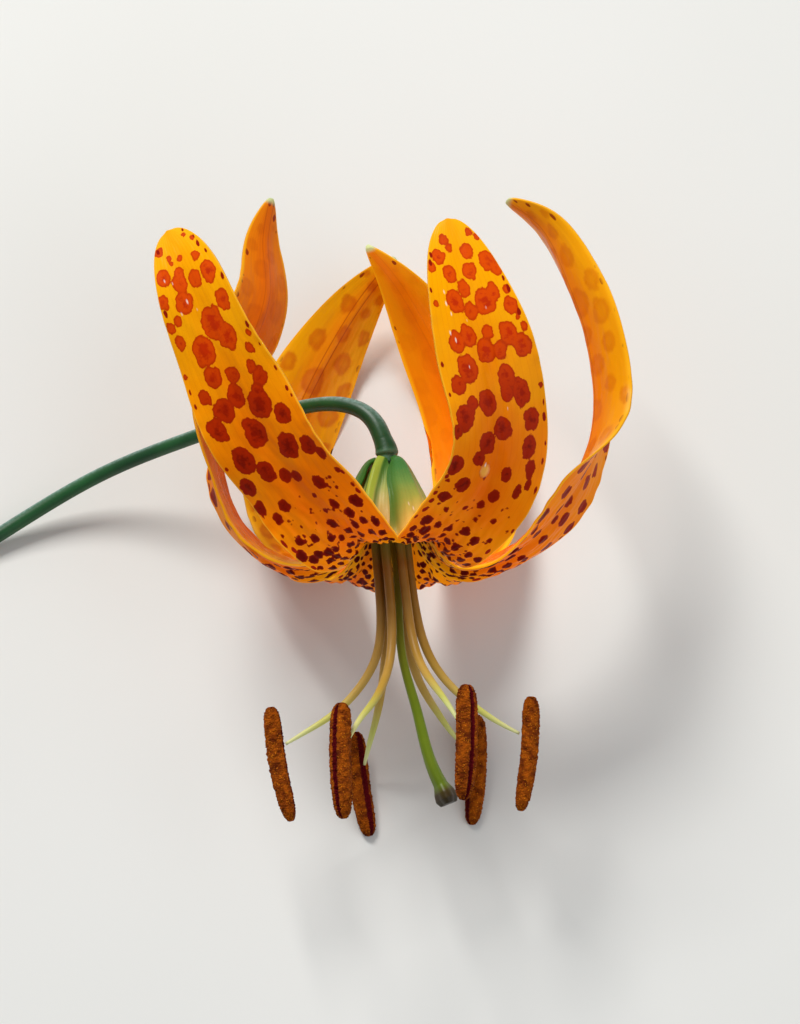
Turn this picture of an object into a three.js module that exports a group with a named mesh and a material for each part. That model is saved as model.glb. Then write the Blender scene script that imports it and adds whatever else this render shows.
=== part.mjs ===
// Humboldt lily: one nodding orange flower on its cut pedicel, laid down on a flat surface.
//
// Lengths are millimetres. The flower is built in its own frame: x to the right, y up the flower's
// axis from the open mouth to the pedicel, z from the axis to the front. The whole flower is then
// leaned about x until it lies on its two back tepals, its two back anthers and the stem's cut end.

import * as THREE from "three";

const DEG = Math.PI / 180;

// How the flower lies: its lean about x, and where the surface and the middle of its box are.
const LEAN = 10.3 * DEG;
const PLACE = [17.9, -8.9, 26.4];

// The gap kept between neighbouring pieces.
const GAP = 0.3;

// A tepal's thickness in the middle and at the margin, and how many rows of points it has.
const BLADE = { middle: 0.85, margin: 0.62, rows: 40 };

// Where the points lie across a blade, as shares of its half-width, close together at the keel.
const ACROSS = [-1, -0.8, -0.52, -0.26, -0.1, 0, 0.1, 0.26, 0.52, 0.8, 1];

// Laws along a tepal: the share of its length, and the value there. The outer tepals' claws are
// broad and lie over the margins of the inner ones, whose narrow keels show between them.
// Half-width as a share of the widest, before the tip is rounded off.
const HALF_WIDTH = {
  inner: [
    [0, 0.06], [0.011, 0.11], [0.023, 0.17], [0.05, 0.29], [0.077, 0.37], [0.1, 0.43], [0.137, 0.47],
    [0.18, 0.51], [0.26, 0.75], [0.4, 0.94], [0.56, 1], [0.75, 0.98], [1, 0.86],
  ],
  outer: [
    [0, 0.06], [0.01, 0.13], [0.026, 0.27], [0.053, 0.39], [0.077, 0.48], [0.1, 0.54], [0.147, 0.59],
    [0.19, 0.62], [0.26, 0.76], [0.4, 0.94], [0.56, 1], [0.75, 0.98], [1, 0.86],
  ],
};
// Where a flared blade is wider than that, out of the bell.
const FLARE = [[0.13, 0], [0.19, 1], [0.25, 0.9], [0.32, 0.4], [0.44, 0]];
// Where the tip starts to narrow, and the narrowest half-width, at its very end.
const TIP = { from: 0.58, end: 0.4 };
// Curvature across, in 1/mm: the claws follow the round of the bell, and the blades are nearly flat.
const CHANNEL = {
  inner: [[0, 0.3], [0.05, 0.29], [0.077, 0.23], [0.1, 0.2], [0.14, 0.15], [0.24, 0.03], [0.45, 0.012],
    [0.8, 0.02], [1, 0.05]],
  outer: [[0, 0.3], [0.026, 0.3], [0.053, 0.22], [0.077, 0.18], [0.1, 0.16], [0.147, 0.12], [0.24, 0.03],
    [0.45, 0.012], [0.8, 0.02], [1, 0.05]],
};
// Height of the keel on the outer face in mm, as far as the claw ends, and the keel's half-width.
const CLAW_KEEL = {
  inner: [[0, 0.3], [0.02, 0.9], [0.1, 0.85], [0.15, 0]],
  outer: [[0, 0.2], [0.1, 0.25], [0.15, 0]],
};
const KEEL_WIDTH = [[0, 0.65], [0.1, 0.65], [0.16, 1.4]];
const KEEL_START = [[0.1, 0], [0.16, 1]];
// Depth of the fold along the middle, and how far the margins wave, in mm.
const FOLD = [[0, 0], [0.12, 0.1], [0.25, 0.75], [0.5, 0.45], [0.85, 0.2], [1, 0]];
const WAVE = [[0, 0], [0.14, 0.1], [0.22, 0.7], [0.4, 0.75], [0.7, 0.6], [0.92, 0.25], [1, 0]];

// The bell that the claws close round the ovary: the claws' midlines as distances from its axis and
// heights, and the lean of that axis to the left, from the mouth up.
const CLAW = {
  inner: [[1.5, 16], [1.9, 15.2], [2.3, 14.3], [3.3, 12], [4.3, 9.8], [4.9, 7.8], [5.7, 4.4]],
  outer: [[1.6, 16], [2.5, 15.65], [3.35, 14.7], [4.5, 12.6], [5.55, 10.6], [6.3, 8.5], [7.45, 4.4]],
};
const BELL_LEAN = [[1, 0], [11, -0.9]];

// No extra curvature or roll anywhere.
const FLAT = [[0, 0], [1, 0]];

// The six tepals. A claw's azimuth is in degrees round the axis from the front towards the right.
// Each path point of the blade is x, y and z on the midline, and the azimuth that the inner face
// looks in there. A blade may flare out of the bell and narrow towards its upper half, a cup adds curvature across it, and a
// roll in degrees lifts its right margin, seen from outside, where it leaves the bell.
const TEPALS = [
  {
    name: "tepal_inner_front_left", layer: "inner", claw: -33.5,
    half: 8.4, flare: 0.15, narrow: 0.16, blunt: 1, keel: 0.45, waves: 3.6, phase: 0.1, cup: FLAT,
    roll: [[0.13, 0], [0.2, 34], [0.3, 20], [0.42, 0]],
    path: [
      [-5.2, 1.4, 9.2, -28], [-8.7, 2.9, 13.7, -24], [-14.4, 8.8, 17.5, -22], [-20.5, 17.7, 20.2, -22],
      [-26.4, 29.8, 22.4, -24], [-31.4, 42, 21.8, -26], [-33.2, 46.2, 19.4, -28],
    ],
  },
  {
    name: "tepal_outer_front_right", layer: "outer", claw: 44.5,
    half: 7.8, flare: 0.1, narrow: 0, blunt: 0.9, keel: 0.3, waves: 3.1, phase: 0.55, cup: FLAT,
    roll: [[0.175, 0], [0.24, -31], [0.3, -24], [0.4, 0]],
    path: [
      [6.45, 1.5, 8.85, 36], [9.4, 2.7, 13.6, 25], [13.6, 7.5, 18.2, 22], [15.4, 14.2, 22, 25],
      [14.5, 22.2, 25, 21], [11.3, 33.8, 26.6, 12], [7.9, 46.4, 25.4, 4],
    ],
  },
  {
    name: "tepal_inner_right", layer: "inner", claw: 102,
    half: 7.6, flare: -0.14, narrow: 0, blunt: 0.8, keel: 0.45, waves: 3.4, phase: 0.3,
    cup: [[0.42, 0], [0.5, 0.03], [0.6, 0.12], [0.8, 0.12], [0.95, 0.05]],
    roll: [[0.22, 0], [0.32, -13], [0.44, -15], [0.56, 0]],
    path: [
      [8.8, 0.2, -1.6, 93], [13.4, -0.4, -0.6, 92], [20, 2.8, 0.4, 89], [27.2, 11, 0, 94],
      [31.2, 20.8, -1, 96], [31.4, 29.1, -2, 98], [29.6, 38.8, -3, 102], [26.6, 47, -4, 106],
      [23, 54.2, -5, 108], [17.6, 58.6, -6, 110],
    ],
  },
  {
    name: "tepal_outer_left", layer: "outer", claw: 262,
    half: 7.8, flare: 0, narrow: 0, blunt: 0.4, keel: 0.3, waves: 3.2, phase: 0.8,
    cup: [[0.4, 0], [0.5, 0.05], [0.6, 0.05], [0.75, 0]], roll: FLAT,
    path: [
      [-10.2, 0.6, -1.4, 265], [-14.4, -0.6, -0.2, 270], [-22.2, 4, 0, 271], [-26.4, 13, -0.4, 268],
      [-27, 21.5, -1, 259], [-24.6, 30.1, -3.2, 246], [-21.4, 38, -5.6, 232], [-19.8, 45.2, -7.6, 226],
      [-20.2, 52.5, -9, 222], [-19, 60, -9.6, 220],
    ],
  },
  {
    name: "tepal_inner_back_left", layer: "inner", claw: 210,
    half: 7.5, flare: 0, narrow: 0, blunt: 0.5, keel: 0.6, waves: 3.3, phase: 0.45, cup: FLAT, roll: FLAT,
    path: [
      [-5.6, -0.2, -9.3, 210], [-10.6, 3, -16.5, 208], [-16, 13, -23.8, 206], [-16.7, 25, -28.5, 202],
      [-13.1, 35.2, -29.8, 196], [-8.6, 43.4, -29, 190], [-4, 50, -27, 186], [0.3, 54.6, -24.4, 184],
    ],
  },
  {
    name: "tepal_outer_back_right", layer: "outer", claw: 156,
    half: 7.4, flare: 0, narrow: 0, blunt: 0.3, keel: 0.35, waves: 3, phase: 0.95, cup: FLAT, roll: FLAT,
    path: [
      [5, -0.4, -9.5, 152], [9.8, 3, -16.5, 152], [13, 13, -24, 154], [12.4, 25, -28.4, 158],
      [9.4, 35.2, -29.2, 164], [5, 44, -27.4, 170], [0.4, 50.6, -22.4, 176], [-4, 54, -15.6, 180],
    ],
  },
];

// The pedicel, from the receptacle between the claws, over the top of the flower and down to its cut
// end. The first rows of its radius are the receptacle and the collar that lies over the claws.
const PEDICEL = {
  path: [
    [-0.9, 15.45, 0], [-0.9, 16.4, 0], [-1, 17.7, 0], [-1.5, 19.2, 0], [-2.3, 21.2, -0.2], [-3.8, 23.3, -0.8],
    [-7, 25.2, -2.5], [-10.9, 26, -5], [-14.6, 26, -7.5], [-22.9, 25.2, -12],
    [-30.8, 23.5, -16], [-46, 19, -23.2], [-61.9, 10.2, -26.6], [-71.2, 4.2, -26.8],
  ],
  radius: [
    [0, 0.5], [0.005, 0.75], [0.0155, 0.8], [0.0165, 1.8], [0.021, 1.95], [0.032, 1.65], [0.045, 1.45],
    [0.07, 1.4], [0.11, 1.25], [0.2, 1.1], [0.6, 1.1], [1, 1.15],
  ],
  collarRows: 7,
  rows: 30,
  sides: 12,
};

// The pistil: a three-sided ovary inside the tepals' claws, a style that thickens downwards, and a
// stigma of three lobes.
const PISTIL = {
  path: [
    [-0.9, 14.6, 0], [-0.8, 10, 0], [-0.2, 5, 0], [0.2, 2.6, 0], [0.8, -5.3, 0], [1.5, -14.4, 0],
    [3.5, -21.9, 0], [6.1, -31.1, 0], [7.6, -34.3, 0], [8.3, -36, 0],
  ],
  radius: [
    [0, 0.7], [0.04, 0.95], [0.12, 1.05], [0.18, 0.9], [0.22, 0.68], [0.3, 0.62], [0.6, 0.66],
    [0.85, 0.86], [0.94, 1.05], [0.965, 1.5], [0.985, 1.6], [1, 1.2],
  ],
  lobes: [[0, 0.06], [0.15, 0.08], [0.24, 0.02], [0.8, 0.02], [0.94, 0.1], [1, 0.2]],
  rows: 38,
  sides: 12,
};

// The six stamens. A filament runs from the top of the claws to its anther, which hangs from its
// upper third. The anther has its two ends, and the direction in which its back looks, in degrees
// round the axis from the front: the filament meets it there.
const STAMENS = [
  {
    name: "left", anther: [[-18.1, -21.6, 0], [-15, -38.6, 0]], back: 84,
    path: [[-2.7, 12.4, 0], [-2.8, 8, 0], [-1.9, -5.2, 0], [-2.6, -14.2, 0], [-5.3, -19, 0],
      [-9.4, -23, 0], [-12.8, -25.2, 0]],
  },
  {
    name: "front_left", anther: [[-7.4, -23.8, 17.6], [-7, -40.5, 17.2]], back: 140,
    path: [[-1.8, 12.4, 1.55], [-1.6, 8, 1.9], [-0.4, -5.6, 2], [-0.4, -14.6, 3.2], [-1.4, -18.9, 6],
      [-3.2, -23, 10.8], [-4.8, -25.6, 14]],
  },
  {
    name: "front_right", anther: [[10.6, -21, 16.8], [10.1, -37.7, 16.4]], back: 220,
    path: [[0, 12.4, 1.55], [0.5, 8, 1.9], [2, -5.7, 2.1], [3.6, -14.4, 4], [5.2, -18.2, 7.2],
      [7, -21.4, 11], [8, -23.2, 13.2]],
  },
  {
    name: "right", anther: [[20.5, -20.2, 1], [18.8, -37.2, 1]], back: 268,
    path: [[0.9, 12.4, 0], [1.5, 8, 0], [3.1, -5.4, 0.1], [5.6, -14.2, 0.4], [8.9, -18.8, 0.8],
      [12.4, -21.8, 1], [16, -24.2, 1]],
  },
  {
    name: "back_right", anther: [[12.7, -19.8, -18.8], [12, -36.6, -19.6]], back: 300,
    path: [[0, 12.4, -1.55], [0.5, 8, -1.9], [1.5, -5, -2.1], [2.9, -14, -4.4], [5, -18.2, -9],
      [7.4, -21.2, -13.4], [9, -23, -16]],
  },
  {
    name: "back_left", anther: [[-5.9, -22.4, -18.9], [-3.6, -38.4, -19]], back: 40,
    path: [[-1.8, 12.4, -1.55], [-1.6, 8, -1.9], [-0.9, -5, -2.1], [-1.2, -13.8, -3.6], [-1.9, -18.8, -7.4],
      [-2.7, -22, -11.4], [-3.6, -24.8, -15]],
  },
];
const FILAMENT = {
  radius: [[0, 0.5], [0.1, 0.62], [0.2, 0.7], [0.45, 0.72], [0.75, 0.6], [0.92, 0.4], [1, 0.22]],
  rows: 16,
  sides: 8,
};
const ANTHER = {
  halfWidth: 1.6,
  halfDepth: 1.55,
  backGroove: 0.3,
  frontGroove: 0.35,
  bow: 0.5,
  hangs: 0.32,
  girth: [
    [0, 0.34], [0.025, 0.64], [0.07, 0.86], [0.16, 0.98], [0.4, 1], [0.7, 0.96], [0.86, 0.86],
    [0.94, 0.7], [0.98, 0.48], [1, 0.22],
  ],
  rows: 13,
  sides: 16,
};

// Colours, roughness and metalness of the flower's parts.
const FINISH = {
  tepal: { color: 0xf08a12, roughness: 0.42, metalness: 0 },
  pedicel: { color: 0x1c5a2a, roughness: 0.5, metalness: 0 },
  pistil: { color: 0x6b8a1e, roughness: 0.45, metalness: 0 },
  filament: { color: 0xb89a3c, roughness: 0.5, metalness: 0 },
  anther: { color: 0x8f4210, roughness: 0.9, metalness: 0 },
};

const vector = ([x, y, z]) => new THREE.Vector3(x, y, z);
const points = (path) => path.map(vector);

// A smooth curve of one value through its knots, with no bend at its two ends: on each stretch the
// second derivative runs straight from one knot's to the next's.
function smooth(at, value) {
  const last = at.length - 1;
  const bend = new Array(last + 1).fill(0);
  const carry = new Array(last + 1).fill(0);
  for (let i = 1; i < last; i++) {
    const before = at[i] - at[i - 1];
    const after = at[i + 1] - at[i];
    const turn = (value[i + 1] - value[i]) / after - (value[i] - value[i - 1]) / before;
    const pivot = 2 * (before + after) - before * carry[i - 1];
    carry[i] = after / pivot;
    bend[i] = (6 * turn - before * bend[i - 1]) / pivot;
  }
  for (let i = last - 1; i > 0; i--) bend[i] -= carry[i] * bend[i + 1];
  return (t) => {
    let i = 0;
    while (i < last - 1 && t > at[i + 1]) i++;
    const h = at[i + 1] - at[i];
    const a = (at[i + 1] - t) / h;
    const b = (t - at[i]) / h;
    const pull = ((a ** 3 - a) * bend[i] + (b ** 3 - b) * bend[i + 1]) * h * h / 6;
    return a * value[i] + b * value[i + 1] + pull;
  };
}

// A law is a list of places with a value at each, joined by straight stretches.
function law(list, t) {
  let i = 0;
  while (i < list.length - 2 && t > list[i + 1][0]) i++;
  const [t0, v0] = list[i];
  const [t1, v1] = list[i + 1];
  return v0 + (v1 - v0) * THREE.MathUtils.clamp((t - t0) / (t1 - t0), 0, 1);
}

// The same law with its corners rounded, by a mean over a short stretch.
function softLaw(list, t, reach = 0.03) {
  let sum = 0;
  for (let k = -2; k <= 2; k++) sum += law(list, t + (k * reach) / 2);
  return sum / 5;
}

// The smooth curve through the rows of a path: every column gets its own curve over the length so
// far, measured from knot to knot.
function route(path) {
  const along = [0];
  for (let i = 1; i < path.length; i++) {
    const step = vector(path[i]).distanceTo(vector(path[i - 1]));
    along.push(along[i - 1] + step);
  }
  const length = along.at(-1);
  const columns = path[0].map((_, c) => smooth(along, path.map((row) => row[c])));
  return { length, at: (s) => columns.map((column) => column(s * length)) };
}

// The direction in which a route runs at a place.
function heading(line, s) {
  const step = 0.004;
  const ahead = vector(line.at(Math.min(1, s + step)));
  const behind = vector(line.at(Math.max(0, s - step)));
  return ahead.sub(behind).normalize();
}

// What would sink into the surface that the flower lies on is pressed flat against it.
function press(p) {
  const height = p.y * Math.sin(LEAN) + p.z * Math.cos(LEAN) + PLACE[2];
  if (height >= 0) return;
  p.y -= height * Math.sin(LEAN);
  p.z -= height * Math.cos(LEAN);
}

function solid(positions, faces) {
  positions.forEach(press);
  const geometry = new THREE.BufferGeometry();
  const flat = positions.flatMap((p) => [p.x, p.y, p.z]);
  geometry.setAttribute("position", new THREE.Float32BufferAttribute(flat, 3));
  geometry.setIndex(faces);
  geometry.computeVertexNormals();
  return geometry;
}

// A closed sheet between two grids of points, which are split into triangles alike.
function sheet(inner, outer) {
  const rows = inner.length;
  const columns = inner[0].length;
  const back = rows * columns;
  const faces = [];
  const quad = (a, b, c, d) => faces.push(a, b, c, a, c, d);
  for (let i = 0; i < rows - 1; i++) {
    for (let j = 0; j < columns - 1; j++) {
      const a = i * columns + j;
      const c = a + columns + 1;
      quad(a, a + 1, c, c - 1);
      faces.push(back + a, back + c, back + a + 1, back + a, back + c - 1, back + c);
    }
    const left = i * columns;
    const right = left + columns - 1;
    quad(left, left + columns, back + left + columns, back + left);
    quad(right, back + right, back + right + columns, right + columns);
  }
  const end = (rows - 1) * columns;
  for (let j = 0; j < columns - 1; j++) {
    quad(j, back + j, back + j + 1, j + 1);
    quad(end + j, end + j + 1, back + end + j + 1, back + end + j);
  }
  return solid([...inner.flat(), ...outer.flat()], faces);
}

// A closed body of rings that follow one another, with a fan over each end.
function loft(rings) {
  const sides = rings[0].length;
  const faces = [];
  for (let i = 0; i < rings.length - 1; i++) {
    for (let k = 0; k < sides; k++) {
      const a = i * sides + k;
      const b = i * sides + ((k + 1) % sides);
      faces.push(a, b, b + sides, a, b + sides, a + sides);
    }
  }
  const middle = (ring) =>
    ring.reduce((sum, p) => sum.add(p), new THREE.Vector3()).divideScalar(sides);
  const first = rings.length * sides;
  const end = (rings.length - 1) * sides;
  for (let k = 0; k < sides; k++) {
    const next = (k + 1) % sides;
    faces.push(first, next, k, first + 1, end + k, end + next);
  }
  return solid([...rings.flat(), middle(rings[0]), middle(rings.at(-1))], faces);
}

// Rings along a route. The first side vector is carried along with no turning about the route, and
// section(s, angle) gives how far the ring stands out there.
function rings(line, places, sides, firstSide, section) {
  const side = firstSide.clone();
  return places.map((s) => {
    const run = heading(line, s);
    side.addScaledVector(run, -side.dot(run)).normalize();
    const across = new THREE.Vector3().crossVectors(run, side);
    const centre = vector(line.at(s));
    return Array.from({ length: sides }, (_, k) => {
      const angle = (k / sides) * 2 * Math.PI;
      const [u, v] = section(s, angle);
      return centre.clone().addScaledVector(side, u).addScaledVector(across, v);
    });
  });
}

// Places from 0 to 1, closer together towards both ends.
function places(count, crowding = 0.6) {
  return Array.from({ length: count }, (_, i) => {
    const t = i / (count - 1);
    return t - (crowding * Math.sin(2 * Math.PI * t)) / (2 * Math.PI);
  });
}

// A tepal's whole midline: its claw, down the round of the bell, and then its blade.
function midline({ layer, claw, path }) {
  const rows = CLAW[layer].map(([radius, height]) => {
    const across = law(BELL_LEAN, height) + radius * Math.sin(claw * DEG);
    return [across, height, radius * Math.cos(claw * DEG), claw];
  });
  return route([...rows, ...path]);
}

// Half a tepal's width at a place: its law, flared out of the bell, narrowed in the upper half and
// rounded off at the tip.
function halfWidth({ layer, half, flare, narrow, blunt }, s) {
  const tip = Math.max(0, (s - TIP.from) / (1 - TIP.from));
  const taper = (1 - tip ** (1.2 + 1.8 * blunt)) ** (0.95 - 0.45 * blunt);
  const slim = 1 - narrow * THREE.MathUtils.smoothstep(s, 0.45, 0.8);
  const wide = half * softLaw(HALF_WIDTH[layer], s, 0.015) * (1 + flare * softLaw(FLARE, s, 0.015));
  return wide * slim * taper + TIP.end * (1 - taper);
}

// A tepal: the side vector is level round the axis. Across, the blade is an arc of a circle, with a
// fold in the middle and waved margins. The keel is on the outer face.
function tepal(blade) {
  const line = midline(blade);
  const inner = [];
  const outer = [];
  for (const s of places(BLADE.rows, 0.75)) {
    const [x, y, z, facing] = line.at(s);
    const run = heading(line, s);
    const side = new THREE.Vector3(Math.cos(facing * DEG), 0, -Math.sin(facing * DEG));
    side.addScaledVector(run, -side.dot(run)).normalize();
    side.applyAxisAngle(run, softLaw(blade.roll, s) * DEG);
    const up = new THREE.Vector3().crossVectors(side, run);
    const width = halfWidth(blade, s);
    const curvature = softLaw(CHANNEL[blade.layer], s, 0.015) + softLaw(blade.cup, s);
    const keel = softLaw(CLAW_KEEL[blade.layer], s, 0.015) + blade.keel * law(KEEL_START, s) * (1 - s ** 4);
    const innerRow = [];
    const outerRow = [];
    for (const u of ACROSS) {
      const bend = curvature * u * width;
      const ridge = Math.exp(-((u * width / softLaw(KEEL_WIDTH, s)) ** 2));
      const turn = 2 * Math.PI * (blade.waves * s + blade.phase + (u > 0 ? 0.37 : 0));
      const wave = softLaw(WAVE, s) * Math.abs(u) ** 3 * Math.sin(turn);
      const lift = wave - softLaw(FOLD, s) * ridge;
      const thick = BLADE.middle + (BLADE.margin - BLADE.middle) * u * u;
      const upwards = up.clone().multiplyScalar(Math.cos(bend)).addScaledVector(side, -Math.sin(bend));
      const root = new THREE.Vector3(x, y, z).addScaledVector(side, Math.sin(bend) / curvature);
      root.addScaledVector(up, (1 - Math.cos(bend)) / curvature);
      innerRow.push(root.clone().addScaledVector(upwards, lift + thick / 2));
      outerRow.push(root.addScaledVector(upwards, lift - thick / 2 - keel * ridge));
    }
    inner.push(innerRow);
    outer.push(outerRow);
  }
  return sheet(inner, outer);
}

function pedicel() {
  const line = route(PEDICEL.path);
  const round = (s, angle) => {
    const r = law(PEDICEL.radius, s);
    return [r * Math.cos(angle), r * Math.sin(angle)];
  };
  const collar = PEDICEL.radius.slice(0, PEDICEL.collarRows).map(([s]) => s);
  const stalk = places(PEDICEL.rows, 0).map((t) => collar.at(-1) + t * (1 - collar.at(-1)));
  const stations = [...collar, ...stalk.slice(1)];
  return loft(rings(line, stations, PEDICEL.sides, new THREE.Vector3(0, 0, 1), round));
}

function pistil() {
  const line = route(PISTIL.path);
  const lobed = (s, angle) => {
    const r = law(PISTIL.radius, s) * (1 + law(PISTIL.lobes, s) * Math.cos(3 * angle));
    return [r * Math.cos(angle), r * Math.sin(angle)];
  };
  const stations = places(PISTIL.rows, 0.75);
  return loft(rings(line, stations, PISTIL.sides, new THREE.Vector3(0, 0, 1), lobed));
}

// The outward direction round the axis.
const outward = (azimuth) =>
  new THREE.Vector3(Math.sin(azimuth * DEG), 0, Math.cos(azimuth * DEG));

// An anther's midline bows away from its back a little.
function antherRoute({ anther, back }) {
  const [top, bottom] = points(anther);
  const bowed = top.clone().lerp(bottom, 0.5).addScaledVector(outward(back), -ANTHER.bow);
  return route([top, bowed, bottom].map((p) => p.toArray()));
}

// Across, an anther is an oval with a groove down its back and another down its front.
function anther(stamen) {
  const line = antherRoute(stamen);
  const section = (s, angle) => {
    const girth = softLaw(ANTHER.girth, s, 0.012);
    const groove = (at, depth, spread) => {
      const away = Math.atan2(Math.sin(angle - at), Math.cos(angle - at));
      return depth * Math.exp(-((away / spread) ** 2));
    };
    const cut = 1 - groove(0, ANTHER.backGroove, 0.45) - groove(Math.PI, ANTHER.frontGroove, 0.3);
    return [
      girth * cut * ANTHER.halfDepth * Math.cos(angle),
      girth * cut * ANTHER.halfWidth * Math.sin(angle),
    ];
  };
  const stations = places(ANTHER.rows, 0.8);
  return loft(rings(line, stations, ANTHER.sides, outward(stamen.back), section));
}

// A filament ends a gap short of the groove in its anther's back.
function filament(stamen) {
  const back = outward(stamen.back);
  const reach = ANTHER.halfDepth * (1 - ANTHER.backGroove) + GAP + FILAMENT.radius.at(-1)[1];
  const tip = vector(antherRoute(stamen).at(ANTHER.hangs)).addScaledVector(back, reach);
  const line = route([...stamen.path, tip.toArray()]);
  const round = (s, angle) => {
    const r = softLaw(FILAMENT.radius, s);
    return [r * Math.cos(angle), r * Math.sin(angle)];
  };
  const stations = places(FILAMENT.rows, 0);
  return loft(rings(line, stations, FILAMENT.sides, new THREE.Vector3(0, 0, 1), round));
}

const flower = new THREE.Group();
function add(name, geometry, finish) {
  const mesh = new THREE.Mesh(geometry, new THREE.MeshStandardMaterial(finish));
  mesh.name = name;
  flower.add(mesh);
}

add("pedicel", pedicel(), FINISH.pedicel);
add("pistil", pistil(), FINISH.pistil);
for (const blade of TEPALS) add(blade.name, tepal(blade), FINISH.tepal);
for (const stamen of STAMENS) {
  add("filament_" + stamen.name, filament(stamen), FINISH.filament);
  add("anther_" + stamen.name, anther(stamen), FINISH.anther);
}
flower.rotation.x = LEAN;
flower.position.set(...PLACE);

const part = new THREE.Group();
part.add(flower);

export default part;
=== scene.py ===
import bpy
import numpy as np
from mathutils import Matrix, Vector


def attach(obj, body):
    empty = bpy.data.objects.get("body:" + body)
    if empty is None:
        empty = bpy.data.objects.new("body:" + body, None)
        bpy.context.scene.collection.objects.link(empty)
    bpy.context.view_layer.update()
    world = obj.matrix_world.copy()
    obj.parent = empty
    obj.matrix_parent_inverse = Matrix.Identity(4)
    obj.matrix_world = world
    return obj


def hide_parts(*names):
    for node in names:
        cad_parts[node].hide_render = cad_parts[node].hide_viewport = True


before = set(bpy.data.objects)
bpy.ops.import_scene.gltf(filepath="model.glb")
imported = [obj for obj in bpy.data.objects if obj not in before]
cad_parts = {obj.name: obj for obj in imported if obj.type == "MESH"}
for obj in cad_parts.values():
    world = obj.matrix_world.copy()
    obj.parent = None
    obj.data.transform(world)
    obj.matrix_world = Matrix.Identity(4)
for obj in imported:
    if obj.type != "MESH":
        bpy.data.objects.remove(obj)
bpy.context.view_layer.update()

# %% [markdown]
# ## The frame of the flower
# A flower is easiest to draw upright in its own frame: x to the right, y up its axis, z to the
# front, in millimetres. One function then leans it back until it lies on two tepals, two anthers
# and the stem's cut end, and presses what would sink into the surface flat against it.
# %% From the flower's frame to the scene
LEAN = np.radians(10.3)
PLACE = np.array([17.9, -8.9, 26.4])
MM = 0.001


def lie_down(points):
    """Points of the flower's frame, in mm, turned by LEAN about x and moved by PLACE, in metres."""
    x, y, z = np.moveaxis(np.asarray(points, float), -1, 0)
    across = y * np.cos(LEAN) - z * np.sin(LEAN)
    height = y * np.sin(LEAN) + z * np.cos(LEAN)
    turned = np.stack([x, across, height], -1) + PLACE
    turned[..., 2] = np.maximum(turned[..., 2], 0)
    return turned * MM


print("the flower's middle lies at", lie_down([0, 0, 0]).round(4))

# %% [markdown]
# ## Curves, laws and frames
# A stem, a filament and the midline of a tepal are all routes: a smooth curve through a few
# points. Blender's own curves could carry them, but a natural cubic spline in numpy also gives
# the places between, for as many stations as the mesh wants. What changes along a route, such as
# its width, is a law: a short table of places and values.
# %% Routes and laws
def spline(at, values):
    """A natural cubic spline through values at the places at: on each stretch the second
    derivative runs straight from one knot's to the next's, and it is zero at both ends."""
    at = np.asarray(at, float)
    values = np.asarray(values, float)
    step = np.diff(at)
    slope = np.diff(values, axis=0) / step[:, None]
    inner = np.arange(1, len(at) - 1)
    system = np.eye(len(at))
    system[inner, inner - 1] = step[:-1]
    system[inner, inner] = 2 * (step[:-1] + step[1:])
    system[inner, inner + 1] = step[1:]
    bend = np.zeros_like(values)
    bend[1:-1] = 6 * np.diff(slope, axis=0)
    bend = np.linalg.solve(system, bend)

    def curve(t):
        i = np.clip(np.searchsorted(at, t, side="right") - 1, 0, len(step) - 1)
        h = step[i][..., None]
        a = (at[i + 1] - t)[..., None] / h
        b = 1 - a
        pull = ((a**3 - a) * bend[i] + (b**3 - b) * bend[i + 1]) * h * h / 6
        return a * values[i] + b * values[i + 1] + pull

    return curve


def route(path):
    """A path's length between its knots, and its smooth curve over shares of that length."""
    path = np.asarray(path, float)
    along = np.append(0, np.cumsum(np.linalg.norm(np.diff(path[:, :3], axis=0), axis=1)))
    curve = spline(along, path)
    return along[-1], lambda s: curve(np.asarray(s, float) * along[-1])


def heading(curve, s, step=0.004):
    """The unit vector in which a route runs at each place."""
    run = (curve(np.minimum(s + step, 1)) - curve(np.maximum(s - step, 0)))[..., :3]
    return run / np.linalg.norm(run, axis=-1, keepdims=True)


def law(table, t):
    """A law's value at t, on straight stretches between its rows."""
    table = np.asarray(table, float)
    return np.interp(t, table[:, 0], table[:, 1])


def soft_law(table, t, reach=0.03):
    """A law with its corners rounded, as the mean of five places within reach."""
    return sum(law(table, t + k * reach / 2) for k in range(-2, 3)) / 5


def stations(count, crowding=0.6):
    """Shares from 0 to 1, closer together towards both ends."""
    t = np.linspace(0, 1, count)
    return t - crowding * np.sin(2 * np.pi * t) / (2 * np.pi)


def unit(vectors):
    return vectors / np.linalg.norm(vectors, axis=-1, keepdims=True)


print("a law at a quarter:", law([[0, 0], [1, 1]], 0.25))

# %% [markdown]
# ## From arrays to pieces
# Two kinds of grid cover the whole flower: a sheet with two faces, for the tepals, and a tube of
# rings, for everything round. Each is turned into a mesh by the same short function, which also
# keeps the values that the materials will read, one number for each vertex.
# %% Meshes
def grid_faces(rows, columns, wrap=False):
    """The four corners of each cell of a grid of rows and columns. A wrapped grid closes on itself."""
    across = columns if wrap else columns - 1
    i, j = np.meshgrid(np.arange(rows - 1), np.arange(across), indexing="ij")
    k = (j + 1) % columns
    corners = [i * columns + j, i * columns + k, (i + 1) * columns + k, (i + 1) * columns + j]
    return np.stack(corners, -1).reshape(-1, 4)


def add_object(name, data):
    """An object with the given data, linked to the scene."""
    made = bpy.data.objects.new(name, data)
    bpy.context.scene.collection.objects.link(made)
    return made


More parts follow.
